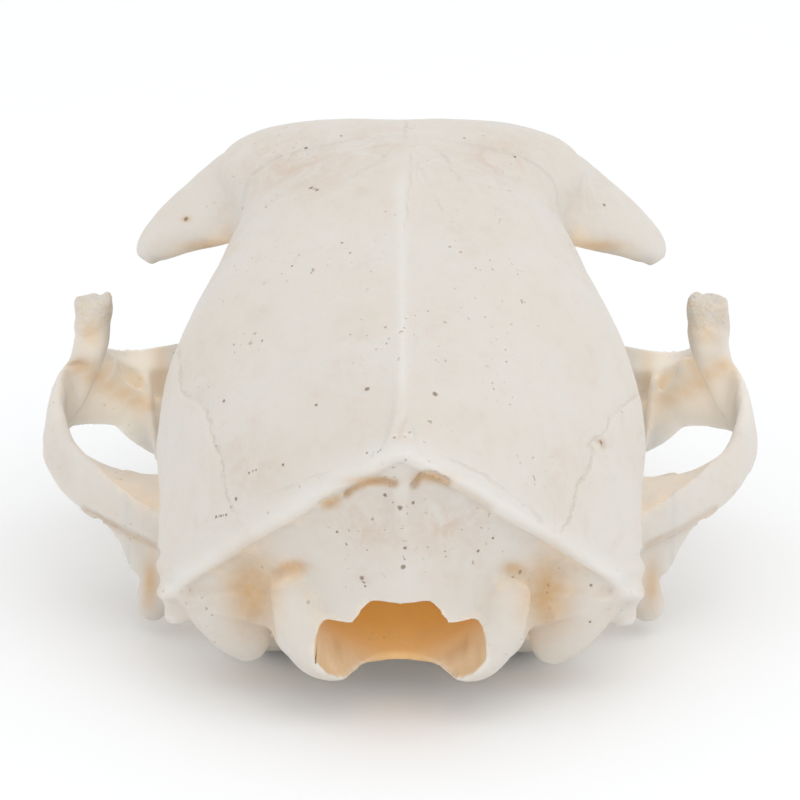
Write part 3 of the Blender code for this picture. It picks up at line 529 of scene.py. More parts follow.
def great_opening():
    """The foramen magnum with the chamber of the brain behind it. Its upper rim is scalloped, and its floor
    is a gutter. Each station is s, half-width, top, bottom and how square the floor is."""
    stations = ((-3, 7.3, 14.7, 3.0, 1.25), (3, 7.3, 14.7, 4.0, 1.25), (6, 7.2, 14.7, 5.3, 1.25),
                (8, 7.2, 14.9, 6.2, 1.3), (10, 7.6, 16.6, 7.3, 1.5), (13, 9, 22, 9, 2),
                (17, 12.5, 29, 11.5, 2.4), (22, 15, 33, 12.5, 2.4), (28, 15.5, 35, 14.5, 2.4),
                (33, 13.5, 35, 18, 2.4), (36, 9, 32, 22, 2.4))
    scallop = ((0, -0.3), (1.2, -0.2), (2.35, -0.1), (3, -0.5), (3.6, -1.5), (4.1, -2), (4.8, -1.9),
               (5.8, -1.35), (6.5, -0.7), (9, -0.6))
    rings = []
    for s, half_width, top, bottom, square in stations:
        middle = bottom + (top - bottom) * 0.5
        x, h = oval(half_width, top - middle, middle - bottom, 3.2, square)
        fade = max(0, 1 - max(0, s - SCALLOP_DEEP) / SCALLOP_FADE)
        h += profile(scallop, np.abs(x)) * (h > 0) * fade
        rings.append(np.stack([x, np.full_like(x, s), h + middle], axis=1))
    return loft("great_opening", rings)


def choana():
    """The way from the back of the nose, between the palate and the base of the skull."""
    half_width = ((48, 3.6), (54, 3.5), (62, 3.0), (67, 1.6))
    height = ((48, 2.0), (54, 1.9), (62, 1.8), (67, 0.8))

    def shape(s):
        half = profile(height, s)
        return profile(half_width, s), half, half, 3, 2.5, CHOANA_HEIGHT + CHOANA_RISE * (s - CHOANA_BACK)

    return sections("choana", 48, 67, shape)


def nasal_aperture():
    """The opening of the nose, rounded above and narrower below."""
    stations = ((94, 5.3, 26.8, 15.6), (89, 5.0, 26.4, 16.6), (85, 4.9, 27.2, 16.2), (80, 4.7, 28.0, 16.2),
                (76, 3.8, 27.0, 17.5))
    rings = []
    for s, half_width, top, bottom in stations:
        middle = bottom + (top - bottom) * 0.55
        x, h = oval(half_width, top - middle, middle - bottom, 2.3, 1.7)
        lean = 0.22 * (h + middle - 20)
        rings.append(np.stack([x, s - lean, h + middle], axis=1))
    return loft("nasal_aperture", rings)


def conchae():
    """The septum of the nose and the thin scrolls of bone that curl in from its side walls."""
    made = [block("septum", *SEPTUM)]
    for i, (x, h, outer, inner, curl) in enumerate(CONCHAE):
        stations = []
        for share in np.linspace(0, 1, 9):
            radius, angle = outer + (inner - outer) * share, math.radians(curl) * share
            place = (x + radius * math.cos(angle), CONCHA_MIDDLE, h + radius * math.sin(angle))
            stations.append((*place, CONCHA_REACH, CONCHA_THICKNESS / 2))
        made += both_sides(sweep(f"concha_{i}", stations, 30, ALONG, 2.6))
    return made


# Forms that come in pairs, by name, in the order in which they are joined and cut
PAIRED_BONES = {
    # Its outer edge is crisp, and it slopes in to the rim of the great opening
    "condyle": bar(((9, 7, 15.1, 1.1, 1.3, -25), (9.2, 5.9, 14.1, 1.9, 2.4, -28),
        (9, 5.4, 12.5, 2.1, 2.55, -30), (8.1, 5.2, 10.6, 2.1, 2.3, -30), (6.9, 5.1, 8.9, 2.1, 2, -20),
        (5.5, 5.6, 8.4, 2.2, 1.7, 0), (3.6, 8.2, 8.3, 1.4, 1.1, 0)), 24, ALONG),
    "condyle_neck": lump((8.3, 9.3, 11.4), (3.1, 4.6, 4.3)),
    # The process at the outer end of each hollow
    "paroccipital": bar(((15, 12.8, 12.7, 5.3, 3), (14.6, 12.5, 10.5, 4.1, 2.2), (14, 12.4, 8.6, 3.1, 1.7),
        (13.4, 12.5, 7, 2.1, 1.35), (13.1, 12.6, 5.8, 1.1, 1)), 14, ACROSS),
    # The plate at each lower corner of the back
    "mastoid": bar(((19.4, 16.6, 16.4, 1.2, 2), (19.6, 15.9, 14, 1.9, 2.8), (19.3, 15.4, 11.4, 2.1, 2.8),
        (19.1, 15, 9.6, 1.9, 2.1), (18.9, 15, 8.7, 1.3, 1.3)), 16, ACROSS),
    "bulla": lump((10.8, 24.8, 8.6), (5.7, 9, 5.9), (0, 0, 9)),
    # The short bony tube of the outer ear
    "ear_rim": lump((15.6, 21.4, 10.4), (3.6, 3.6, 3.7)),
    # The shelf over the jaw joint
    "temporal_root": bar(((11.5, 28.4, 14.4, 5.4, 1.6, 0), (16.5, 28.6, 13.9, 6.2, 2, -5),
        (20, 29.4, 13.9, 5.4, 1.6, -12), (23.2, 30.2, 14.2, 4.5, 1.3, -16), (25.8, 31.4, 14.8, 3.2, 1.2, -16),
        (28.2, 33.4, 15.5, 2.1, 1.2, -10), (30.3, 35.8, 16.3, 1.3, 1.3, 0)), 28),
    # The upright blade at the back of the shelf, which goes on as the arch
    "temporal_blade": bar(((18.6, 23.4, 12.9, 0.9, 2, 0), (22.2, 25.9, 13.5, 0.8, 1.9, 0),
        (24, 26.8, 14.1, 0.75, 1.85, 4), (25.6, 27.9, 14.7, 0.7, 2, 8), (27.2, 29.3, 15.2, 0.7, 2.15, 12),
        (29, 31.4, 15.9, 0.75, 2.3, 18), (30.7, 34.2, 16.6, 0.8, 2.1, 25), (31.9, 38, 17.2, 0.85, 2.1, 22),
        (32.5, 42, 18, 0.85, 2.4, 10), (32.3, 46, 18.3, 0.85, 2.9, 0)), 40, power=2.8),
    # The bar in front of the jaw joint's trough
    "joint_front": bar(((11, 33, 15.2, 1.1, 1), (15.5, 33.3, 14.6, 1.7, 1.5), (20, 34, 13.7, 1.7, 1.6),
        (23.5, 34.6, 14, 1.4, 1.4), (26, 35.2, 14.9, 1.1, 1.1)), 20),
    # The sheet behind the jaw joint, which ends in a blunt knob
    "retroarticular": bar(((20.8, 27.6, 13.6, 5.4, 1), (20.7, 27.2, 11.6, 5.2, 1.2),
        (20.9, 27.1, 9.6, 3.7, 1.3), (21.5, 27.3, 8, 2.6, 1.35), (22.2, 27.5, 6.6, 1.85, 1.35),
        (22.7, 27.6, 5.2, 1.6, 1.35), (22.9, 27.7, 4.2, 0.95, 0.95)), 20, (1, 0.42, 0)),
    # The process that hangs behind the eye
    "postorbital": bar(((9, 51.5, 39.4, 6, 4), (14.2, 51, 38.3, 6, 3.2), (18.2, 50.3, 36.5, 5, 2.4),
        (21.3, 49.7, 34.9, 3.6, 1.9), (23.5, 49.1, 33.3, 2.3, 1.4),
        (24.2, 48.8, 32.2, 1.2, 0.9)), 24, (0, 1, 0.4)),
    # The body of the arch, from the window to the face
    "jugal": bar(((32.4, 42, 18.1, 0.85, 2.5, 8), (32.3, 46.5, 18.3, 0.9, 2.95, 0),
        (31.6, 50.6, 18.3, 1, 3.45, 0), (30.2, 55.2, 17.5, 1.15, 3.75, 0), (28, 59.4, 16.6, 1.3, 3.9, 0),
        (24.7, 62.9, 15.5, 1.7, 4.1, 0), (20.6, 65, 15.2, 2.7, 4.3, 0), (16.5, 66.6, 15.8, 3.8, 5, 0),
        (12, 68.4, 16.5, 4, 5, 0)), 34),
    # The blunt process behind the eye, flat on top
    "jugal_process": bar(((31.2, 53, 18, 5, 1.1), (30.4, 52.6, 20.6, 4, 1.5), (29.7, 52.1, 22.6, 3.1, 1.8),
        (29.4, 51.8, 24.2, 2.5, 1.95), (29.3, 51.5, 26, 2.1, 2),
        (29.25, 51.4, 27.75, 1.8, 2.05)), 20, ALONG, 3.4),
    # The raised inner corner on top of it
    "process_corner": lump((27.85, 51.4, 27.6), (0.75, 1.2, 0.9)),
    # The curved wall from the foot of that process to the thin ridge
    "orbit_wall": bar(((29.7, 53.2, 17.9, 4.3, 0.9), (28.7, 55.7, 16.3, 3, 0.9), (27.1, 57.8, 14.9, 2.3, 0.9),
        (25.6, 58.3, 13.7, 1.9, 0.9), (24.3, 57.2, 12.4, 1.9, 0.9)), 24, (-0.5, -0.05, 1), 2.6),
    # The thin sheet under the blade, which runs down to the knob
    "joint_back": bar(((29.3, 34.2, 12.9, 0.6, 0.7), (27.5, 31.6, 12.6, 0.7, 0.8),
        (25.9, 29.7, 12.2, 0.75, 1), (24.8, 28.6, 11.4, 0.8, 1.3), (23.9, 28, 10.2, 0.8, 1.5),
        (23.2, 27.7, 8.8, 0.8, 1.3)), 20),
    # The swelling over the canine's root
    "canine_bulge": bar(((10.9, 83, 11.5, 1.9, 2.9), (10.5, 82, 14, 1.9, 3), (9.9, 80.4, 17.4, 1.8, 2.8),
        (9.1, 78.6, 20.6, 1.5, 2.2), (8.4, 77.2, 23, 1, 1.4)), 18, ACROSS),
    # The thick front end of the arch, over the last cheek teeth
    "maxillary_root": bar(((15, 61.4, 12, 3.9, 2.8), (19, 61, 11.7, 4, 2.8), (22, 60.4, 11.6, 3.8, 2.9),
        (24.6, 59.6, 12.6, 3.2, 2.5), (27, 59, 14.3, 2.1, 1.8)), 20, ALONG),
    # The thin ridge down from the rim of the orbit, behind the cheek tooth
    "orbit_ridge": bar(((25.6, 64.4, 17.9, 0.4, 0.6), (25.2, 62, 17.6, 0.45, 0.9),
        (24.7, 59, 16.4, 0.45, 1.3), (24.3, 57.2, 14.4, 0.45, 1.3), (23.8, 56, 12, 0.45, 1.2),
        (23.3, 55.4, 9.8, 0.4, 0.8)), 20, ACROSS),
    # The thin wall beside the back of the nasal passage, which ends in a small hook
    "palatine_plate": bar(((5.9, 55, 14, 0.9, 4.6), (5.4, 50, 13.4, 0.7, 4.5), (5, 45, 12.6, 0.55, 4.2),
        (4.8, 40, 11.4, 0.5, 3.5), (4.8, 37, 10.3, 0.5, 2.4), (4.9, 35.2, 9.2, 0.5, 1.3),
        (5, 33.8, 8.3, 0.45, 0.6)), 24, ACROSS),
}
PAIRED_HOLLOWS = {
    "orbit_hollow": lump((19.8, 59, 27.6), (11.2, 10.6, 11.4)),
    # The small dimple above each condyle
    "condylar_dimple": lump((9.6, 3.5, 17.5), (2.2, 2.8, 1.3)),
    # The deepest part of the hollow, under the overhang of the condyle
    "condylar_trench": lump((12.6, 6.2, 11.4), (2.3, 3.8, 4.4)),
    # The trough that the lower jaw hinges in
    "joint_hollow": lump((21.5, 30.7, 10.4), (7, 2.7, 2.8), (0, -12, 10)),
    # The hollow on the inner side of the thin ridge
    "orbit_pocket": lump((21.6, 57.6, 18.2), (2.5, 5.6, 5.4), (-14, 0, 0)),
    "ear_opening": lump((18.6, 21.2, 10.4), (4.2, 2.3, 2.4), (0, 0, -8)),
    "infraorbital_opening": lump((14.2, 68.5, 16.4), (1.45, 8, 1.8), (3, 0, -10)),
}
# The wide hollow beside each condyle
condylar_hollow = lump((14.6, 3.6, 13.4), (4.6, 7, 5.8))
# The arched notch in the lower rim of the great opening, between the condyles
base_notch = lump((0, 1.5, 5), (5.2, 8.8, 7.4))
# The low ridge from the peak of the crest down the middle of the back
occipital_ridge = bar(((0, 1.5, 28.8, 1.9, 0.9), (0, 1.9, 26.5, 1.2, 0.8), (0, 2.4, 24, 0.9, 0.7),
    (0, 2.9, 20.5, 0.8, 0.45)), 14, ACROSS)


def foramina():
    """Small holes for nerves and vessels."""
    made = []
    for i, (x, s, h, radius, reach) in enumerate(FORAMINA):
        made += both_sides(ball(f"foramen_{i}", (x, s, h), (radius, reach, radius)))
    return made


# Joining and cutting


def use(obj, kind, **settings):
    """Adds a modifier with these settings and applies it."""
    modifier = obj.modifiers.new(kind.title(), kind)
    for key, value in settings.items():
        setattr(modifier, key, value)
    graph = bpy.context.evaluated_depsgraph_get()
    mesh = bpy.data.meshes.new_from_object(obj.evaluated_get(graph))
    obj.modifiers.clear()
    old = obj.data
    obj.data = mesh
    bpy.data.meshes.remove(old)
    return obj


def remove_all(objects):
    for obj in objects:
        bpy.data.objects.remove(obj)


def combine(target, tools, operation):
    """One Boolean on all the tools at once, which are then removed."""
    group = bpy.data.collections.new("tools")
    for tool in tools:
        group.objects.link(tool)
    use(target, "BOOLEAN", operand_type="COLLECTION", collection=group, operation=operation,
        solver="MANIFOLD")
    remove_all(tools)
    bpy.data.collections.remove(group)
    return target


def rounded(pieces, rounds, voxel):
    """The pieces joined to the first, under one skin with their meeting lines rounded."""
    made = combine(pieces[0], pieces[1:], "UNION") if len(pieces) > 1 else pieces[0]
    use(made, "REMESH", mode="VOXEL", voxel_size=voxel * MM, adaptivity=0)
    use(made, "SMOOTH", factor=SMOOTH_SHARE, iterations=rounds)
    return made


def cranium():
    """All the bone as one body: the large forms, well rounded, then the lesser ones and the hollows."""
    made = rounded([vault(), base(), frontal(), interorbital(), rostrum(), alveolar_ridge()], BROAD_ROUNDS,
                   ROUGH_VOXEL)
    combine(made, both_sides(condylar_hollow("condylar_hollow")), "DIFFERENCE")
    made = rounded([made], HOLLOW_ROUNDS, ROUGH_VOXEL)
    bones = [made, nuchal_crest(), occipital_ridge("occipital_ridge"), sagittal_crest()]
    for name, make in PAIRED_BONES.items():
        bones += both_sides(make(name))
    made = rounded(bones, JOIN_ROUNDS, FINE_VOXEL)
    hollows = [great_opening(), base_notch("base_notch"), nasal_aperture(), choana(), palate_hollow()]
    for name, make in PAIRED_HOLLOWS.items():
        hollows += both_sides(make(name))
    combine(made, hollows + foramina(), "DIFFERENCE")
    made = rounded([made] + conchae(), FINE_ROUNDS, FINE_VOXEL)
    # The great opening is cut once more, so that its rim is crisp.
    combine(made, [great_opening()], "DIFFERENCE")
    return combine(made, [block("below_table", (-WIDE, LOW, LOW), (WIDE, 2 * WIDE, TABLE))], "DIFFERENCE")


# Measures of the surface


def read(rows, field):
    """The three numbers that each row of a mesh's data holds under this name."""
    found = np.empty(len(rows) * 3, np.float32)
    rows.foreach_get(field, found)
    return found.reshape(-1, 3).astype(float)


def points_of(obj):
    """The mesh's points as (x, s, h) in millimetres."""
    row = read(obj.data.vertices, "co") / MM
    return np.stack([row[:, 0], MID_LENGTH - row[:, 1], row[:, 2] + TABLE], axis=1)


def normals_of(obj):
    """The mesh's outward directions in (x, s, h)."""
    return read(obj.data.vertex_normals, "vector") * (1, -1, 1)


def in_frame_row(points):
    """Points (x, s, h) in millimetres as rows of the part's frame, in metres."""
    return np.stack([points[:, 0], MID_LENGTH - points[:, 1], points[:, 2] - TABLE], axis=1) * MM


def set_points(obj, points):
    obj.data.vertices.foreach_set("co", in_frame_row(points).astype(np.float32).ravel())
    obj.data.update()


def step(low, high, value):
    """0 below low and 1 above high, with a smooth rise between."""
    t = np.clip((value - low) / (high - low), 0, 1)
    return t * t * (3 - 2 * t)


def near(distance, width):
    """1 on a line or point, falling to 0 at about twice the width."""
    return np.exp(-((distance / width) ** 2))


def waves(points, size, seed, count=18):
    """A smooth random value, mostly within -2 to 2, with bumps about this many millimetres across."""
    random = np.random.default_rng(seed)
    found = np.zeros(len(points))
    for _ in range(count):
        way = random.normal(size=3)
        way *= math.pi * random.uniform(0.6, 1.5) / (size * np.linalg.norm(way))
        found += np.sin(points @ way + random.uniform(0, 2 * math.pi))
    return found * math.sqrt(2 / count)


def signed_distance(flat, line):
    """Distance of each flat point from a line of points, positive on the line's left."""
    best = np.full(len(flat), FAR)
    for a, b in zip(line[:-1], line[1:]):
        along = b - a
        away = flat - a
        t = np.clip(away @ along / (along @ along), 0, 1)
        gap = away - t[:, None] * along
        distance = np.hypot(gap[:, 0], gap[:, 1])
        side = np.where(along[0] * gap[:, 1] - along[1] * gap[:, 0] >= 0, 1.0, -1.0)
        best = np.where(distance < np.abs(best), distance * side, best)
    return best


def smooth_line(stations, count):
    """A smooth line of points through the stations."""
    knots = [(i, *station) for i, station in enumerate(stations)]
    return profile(knots, np.linspace(0, len(stations) - 1, count))


def crest_gap(x, h):
    """Distance from the line of the crest, as seen from behind, in millimetres."""
    line = [(along, crest_height(along)) for along in np.linspace(-CREST_REACH, CREST_REACH, 60)]
    return signed_distance(np.stack([x, h], axis=1), np.array(line))


def camera_place():
    """Where the camera stands and how it is turned, as a matrix."""
    tilt, yaw, roll = (math.radians(angle) for angle in (CAMERA_TILT, CAMERA_YAW, CAMERA_ROLL))
    ahead = Vector((-math.sin(yaw) * math.cos(tilt), -math.cos(yaw) * math.cos(tilt), -math.sin(tilt)))
    turn = ahead.to_track_quat("-Z", "Y").to_matrix().to_4x4() @ Matrix.Rotation(roll, 4, "Z")
    return Matrix.Translation(Vector(CAMERA_TARGET) - ahead * CAMERA_DISTANCE) @ turn


def in_picture(points, normals):
    """Where each point shows in the main view, in pixels, and how squarely it faces the camera."""
    place = camera_place()
    inverse = np.array(place.inverted())
    row = in_frame_row(points)
    seen = row @ inverse[:3, :3].T + inverse[:3, 3]
    flat = PICTURE / 2 + FOCAL * np.stack([-seen[:, 0], seen[:, 1]], axis=1) / seen[:, 2:]
    towards = np.array(place.translation) - row
    towards /= np.linalg.norm(towards, axis=1)[:, None]
    return flat, step(0.02, 0.25, np.einsum("ij,ij->i", normals * (1, -1, 1), towards))


def seen_from(points, normals, view):
    """Flat coordinates of the points in the view, and how squarely each faces it."""
    if view == "seen":
        return in_picture(points, normals)
    flat = np.stack([np.abs(points[:, 0]), points[:, 1]], axis=1)
    return flat, step(0.1, 0.4, normals[:, 2]) if view == "top" else step(0.2, 0.5, -normals[:, 2])


def line_distance(points, normals, view, stations):
    """Signed distance of each point, in millimetres, from a line seen in the view, and how squarely it faces
    the view."""
    flat, facing = seen_from(points, normals, view)
    distance = signed_distance(flat, smooth_line(stations, 4 * len(stations)))
    return (distance / PICTURE_SCALE if view == "seen" else distance), facing


def patches_of(points, normals, spots):
    """Soft patches in the main view, from 0 to 1."""
    flat, facing = in_picture(points, normals)
    found = np.zeros(len(points))
    for u, v, across, down, strength in spots:
        away = np.hypot((flat[:, 0] - u) / across, (flat[:, 1] - v) / down)
        found = np.maximum(found, strength * near(away, 1))
    return found * facing


def roughness(points, kinds):
    """The sum of waves of several kinds, in millimetres."""
    return sum(height * waves(points, size, seed) for height, size, seed in kinds)


def relief(points, normals):
    """How far each point of the cranium stands out, in millimetres, beyond the smooth form."""
    x, s, h = points.T
    wide = np.abs(x)
    out = roughness(points, SKIN_ROUGHNESS)
    # The crests and the tips of the processes, where muscles and ligaments held, are rough.
    at_crest = near(crest_gap(x, h), 1.1) * step(-1, 1, nuchal_sweep(x) + 4 - s)
    out += at_crest * roughness(points, CREST_ROUGHNESS)
    at_process = step(23, 25, h) * step(26, 28, wide) * step(47, 49, s)
    out += at_process * roughness(points, PROCESS_ROUGHNESS)
    at_edge = step(18.6, 20.4, wide) * step(19, 17, s) * step(15.5, 14.5, h)
    out += at_edge * EDGE_WAVE * np.sin(2 * math.pi * (h + 0.3 * s) / EDGE_PERIOD)
    # The scales of the temples lap over the roof, so that their edges stand up a little.
    for stations, way in ((LEFT_SCALE, 1), (RIGHT_SCALE, -1)):
        distance, facing = line_distance(points, normals, "seen", stations)
        edge = facing * step(-0.4, 0.4, way * distance) * step(5, 0.5, way * distance)
        out += SCALE_EDGE * edge * step(10, 14, s) * step(44, 40, s)
    for stations, half_width, depth in GROOVES:
        distance, facing = line_distance(points, normals, "seen", stations)
        ragged = half_width * (1 + 0.25 * waves(points, 0.9, 8))
        out -= depth * facing * near(distance / np.maximum(ragged, 0.15), 1)
    # The line where the jaw muscle ended, from the process behind each eye to the middle of the roof
    distance, facing = line_distance(points, normals, "top", TEMPORAL_LINE)
    out += MUSCLE_LINE * facing * near(distance, 0.8)
    for px, ps, ph, radius, depth in PITS:
        out -= depth * near(np.linalg.norm(points - (px, ps, ph), axis=1), radius)
    return out


def store(obj, name, values):
    """Writes a mask, or a place for each point, on the mesh."""
    kind, field = ("FLOAT_VECTOR", "vector") if values.ndim == 2 else ("FLOAT", "value")
    layer = obj.data.attributes.new(name, kind, "POINT")
    layer.data.foreach_set(field, values.astype(np.float32).ravel())


def tree_of(obj):
    """The object's surface, for finding distances."""
    shape = bmesh.new()
    shape.from_mesh(obj.data)
    tree = BVHTree.FromBMesh(shape)
    shape.free()
    return tree


def distance_to(tree, points):
    """Distance of each point from a surface, in millimetres."""
    return np.array([tree.find_nearest(point)[3] for point in in_frame_row(points).tolist()]) / MM


def hollowness(obj):
    """How far each point lies below its smoothed surroundings: positive in hollows, negative on ridges."""
    before, normals = points_of(obj), normals_of(obj)
    smooth = linked("smooth", obj.data.copy())
    use(smooth, "SMOOTH", factor=SMOOTH_SHARE, iterations=MEASURE_ROUNDS)
    after = points_of(smooth)
    bpy.data.objects.remove(smooth)
    return np.einsum("ij,ij->i", after - before, normals)


def marks(obj, tree, specks):
    """The masks that the bone's finish reads, as arrays over the mesh's points."""
    points, normals = points_of(obj), normals_of(obj)
    x, s, h = points.T
    chamber = great_opening()
    outer_face = step(0.25, 0.6, -normals[:, 1]) * step(9, 6, s)
    inside = step(1.0, 0.5, distance_to(tree_of(chamber), points)) * step(RIM_START, RIM_START + 0.6, s)
    inside *= 1 - outer_face
    remove_all([chamber])
    hollow = hollowness(obj)
    at_crest = near(crest_gap(x, h), 0.75) * step(-1, 1, nuchal_sweep(x) + 3 - s)
    keel = near(x, 0.6) * step(4, 8, s) * step(37, 33, s) * step(0.3, 0.6, normals[:, 2])
    # Tan painted shade: in concave places, and in patches where shade falls in the main view
    tan_shade_patches = patches_of(points, normals, TAN_SHADE_PATCHES) * (1 - inside)
    found = {
        "inside": inside,
        "hollow": np.maximum(step(0.05, 0.9, hollow) * step(80, 50, s), tan_shade_patches),
        "ridge": np.maximum(step(0.08, 0.5, -hollow), np.maximum(at_crest, 0.8 * keel)),
        "flush": patches_of(points, normals, FLUSHES),
        # Painted light: where the inside of the skull glows amber, low down and far in
        "painted_inner_glow": inside * step(13.5, 11.5, h) * step(6, 11, s),
        "deep": step(7, 13, s),
        # Painted light on the shaded walls of the orbit and arch
        "thin": patches_of(points, normals, PAINTED_LIGHT_PATCHES) * step(20, 22, np.abs(x)) * step(36, 40, s),
        "shade": shade_at(tree, points, normals),
        "rough": step(23.5, 26, h) * step(26, 28, np.abs(x)) * step(47, 49, s),
    }
    suture, strength = np.full(len(points), FAR), np.zeros(len(points))
    for view, stations, weight in SUTURES:
        distance, facing = line_distance(points, normals, view, stations)
        closer = (np.abs(distance) < np.abs(suture)) & (facing > 0)
        suture = np.where(closer, distance, suture)
        strength = np.where(closer, weight * facing * near(distance, 1.6), strength)
    found["suture"] = np.clip(suture, -SUTURE_REACH, SUTURE_REACH)
    found["suture_strength"] = strength
    # Painted shade along the grooves, darker where they are deeper
    found["groove_shade"] = np.zeros(len(points))
    for stations, half_width, depth in GROOVES:
        distance, facing = line_distance(points, normals, "seen", stations)
        depth_share = min(1, depth / DEEPEST_GROOVE)
        found["groove_shade"] = np.maximum(found["groove_shade"], depth_share * facing * near(distance / half_width, 1))
    found["speck"], found["speck_radius"] = nearest_specks(points, specks)
    return found


def speck_places(tree):
    """Where rays from the camera meet the bone at the dark specks, and their radii, in metres."""
    place = camera_place()
    start, turn = place.translation, place.to_3x3()
    spots, radii = [], []
    for u, v, radius in SPECKS:
        way = turn @ Vector((u - PICTURE / 2, PICTURE / 2 - v, -FOCAL)).normalized()
        spots.append(tuple(tree.ray_cast(start, way)[0]))
        radii.append(radius / PICTURE_SCALE * MM)
    return np.array(spots), np.array(radii)


def nearest_specks(points, specks):
    """For each point, the place and the radius of the speck nearest to it."""
    spots, radii = specks
    rows = in_frame_row(points)
    gaps = np.stack([np.linalg.norm(rows - spot, axis=1) for spot in spots])
    nearest = gaps.argmin(axis=0)
    return spots[nearest], radii[nearest]


def shade_at(tree, points, normals):
    """How much light other bone shuts out at each point, from 0 to 1: rays are cast from some of the points,
    and each point takes the mean of the nearest of them."""
    random = np.random.default_rng(SHADE_SEED)
    rows = in_frame_row(points)
    out = normals[::SHADE_STEP] * (1, -1, 1)
    starts = rows[::SHADE_STEP] + out * SHADE_LIFT
    shut = np.zeros(len(starts))
    for _ in range(SHADE_RAYS):
        ways = random.normal(size=starts.shape)
        ways = out + ways / np.linalg.norm(ways, axis=1)[:, None]
        pairs = zip(starts.tolist(), ways.tolist())
        shut += [tree.ray_cast(start, way, SHADE_REACH)[0] is not None for start, way in pairs]
    shut /= SHADE_RAYS
    places = KDTree(len(starts))
    for i, start in enumerate(starts.tolist()):
        places.insert(start, i)
    places.balance()
    nearest = [[i for _, i, _ in places.find_n(row, SHADE_NEIGHBOURS)] for row in rows.tolist()]
    return np.array([np.mean(shut[few]) for few in nearest])


# Pieces


def slab(name, back, front):
    """The space between two planes that lean with the brow's suture, this far behind and ahead of it."""
    lean = (SUTURE_ROOF[0] - SUTURE_BASE[0]) / (SUTURE_ROOF[1] - SUTURE_BASE[1])
    made = block(name, (-WIDE, SUTURE_BASE[0] + back, LOW), (WIDE, SUTURE_BASE[0] + front, WIDE))
    for vertex in made.data.vertices:
        vertex.co.y -= lean * (vertex.co.z - (SUTURE_BASE[1] - TABLE) * MM)
    return made


def arch_space(side):
    """The box that holds one zygomatic arch outside its two roots."""
    inner, outer = sorted((side * ARCH_START, side * WIDE))
    return block("arch_space", (inner, ARCH_BACK, LOW), (outer, ARCH_FRONT, ARCH_TOP))


def common(whole, space, name):
    """What of the whole lies in the space, as a new object."""
    return combine(linked(name, whole.data.copy()), [space], "INTERSECT")


def pieces_of(whole):
    """The bones as separate pieces that meet at the same planes as the nodes that they stand for."""
    made = []
    for name, side in (("zygomatic_arch_left", 1), ("zygomatic_arch_right", -1)):
        made.append(common(whole, arch_space(side), "bone_" + name))
        combine(whole, [arch_space(side)], "DIFFERENCE")
    made.append(common(whole, slab("front_space", 0, 2 * WIDE), "bone_face"))
    made.append(common(whole, slab("back_space", -2 * WIDE, 0), "bone_braincase"))
    return made


def mark_pieces(whole, found, pieces):
    """Carries the whole cranium's masks over to its pieces, point by point."""
    tree = KDTree(len(whole.data.vertices))
    for i, vertex in enumerate(whole.data.vertices):
        tree.insert(vertex.co, i)
    tree.balance()
    for piece in pieces:
        nearest = [tree.find(vertex.co)[1] for vertex in piece.data.vertices]
        for name, values in found.items():
            store(piece, name, values[nearest])


# Finish


class Nodes:
    """A material's node tree, with short ways to add to it."""

    def __init__(self, name):
        self.material = bpy.data.materials.new(name)
        self.material.use_nodes = True
        self.tree = self.material.node_tree
        self.shader = self.tree.nodes["Principled BSDF"]
        self.place = self.add("ShaderNodeTexCoord", "Object", {})

    def feed(self, node, values):
        """Links the node's sockets, or sets them to plain values; a colour has no alpha."""
        for name, value in values.items():
            socket = node.inputs[name]
            if isinstance(value, bpy.types.NodeSocket):
                self.tree.links.new(value, socket)
            else:
                socket.default_value = (*value, 1) if socket.type == "RGBA" else value

    def add(self, kind, output, values, **settings):
        """A node with these settings and values, of which one output is used."""
        node = self.tree.nodes.new(kind)
        for key, value in settings.items():
            setattr(node, key, value)
        self.feed(node, values)
        return node.outputs[output]

    def mark(self, name, output="Fac"):
        return self.add("ShaderNodeAttribute", output, {}, attribute_name=name)

    def math(self, operation, a, b=0.0):
        return self.add("ShaderNodeMath", 0, {0: a, 1: b}, operation=operation)

    def times(self, a, b):
        return self.math("MULTIPLY", a, b)

    def noise(self, size, detail=3.0, roughness=0.55, distortion=0.0):
        """Noise with features about this many millimetres across."""
        values = {"Vector": self.place, "Scale": 1 / (size * MM), "Detail": detail, "Roughness": roughness,
                  "Distortion": distortion}
        return self.add("ShaderNodeTexNoise", "Fac", values)

    def rise(self, value, low, high, start=0.0, end=1.0):
        values = dict(enumerate((value, low, high, start, end)))
        return self.add("ShaderNodeMapRange", "Result", values, interpolation_type="SMOOTHSTEP")

    def blend(self, share, a, b):
        return self.add("ShaderNodeMix", "Result", {"Factor": share, "A": a, "B": b}, data_type="RGBA")

    def bump(self, height, distance, strength, below=None):
        values = {"Height": height, "Distance": distance * MM, "Strength": strength}
        return self.add("ShaderNodeBump", "Normal", values if below is None else {**values, "Normal": below})

    def finished(self, colour, gloss, depth, normal):
        """The material, once its shader has what bone and enamel both need."""
        share, reach, scale = depth
        self.feed(self.shader, {
            "Base Color": colour, "Roughness": gloss, "Subsurface Weight": share, "Subsurface Radius": reach,
            "Subsurface Scale": scale * MM, "Normal": normal,
        })
        return self.material


def suture_line(made):
    """The sutures: fine wandering lines, broken here and there."""
    wander = made.times(made.math("SUBTRACT", made.noise(0.9, 4, 0.75), 0.5), 1.3)
    line = made.math("ABSOLUTE", made.math("ADD", made.mark("suture"), wander))
    broken = made.times(made.mark("suture_strength"), made.rise(made.noise(2.2, 2), 0.38, 0.56, 0.25, 1))
    return made.times(made.rise(line, 0.17, 0.02), broken)


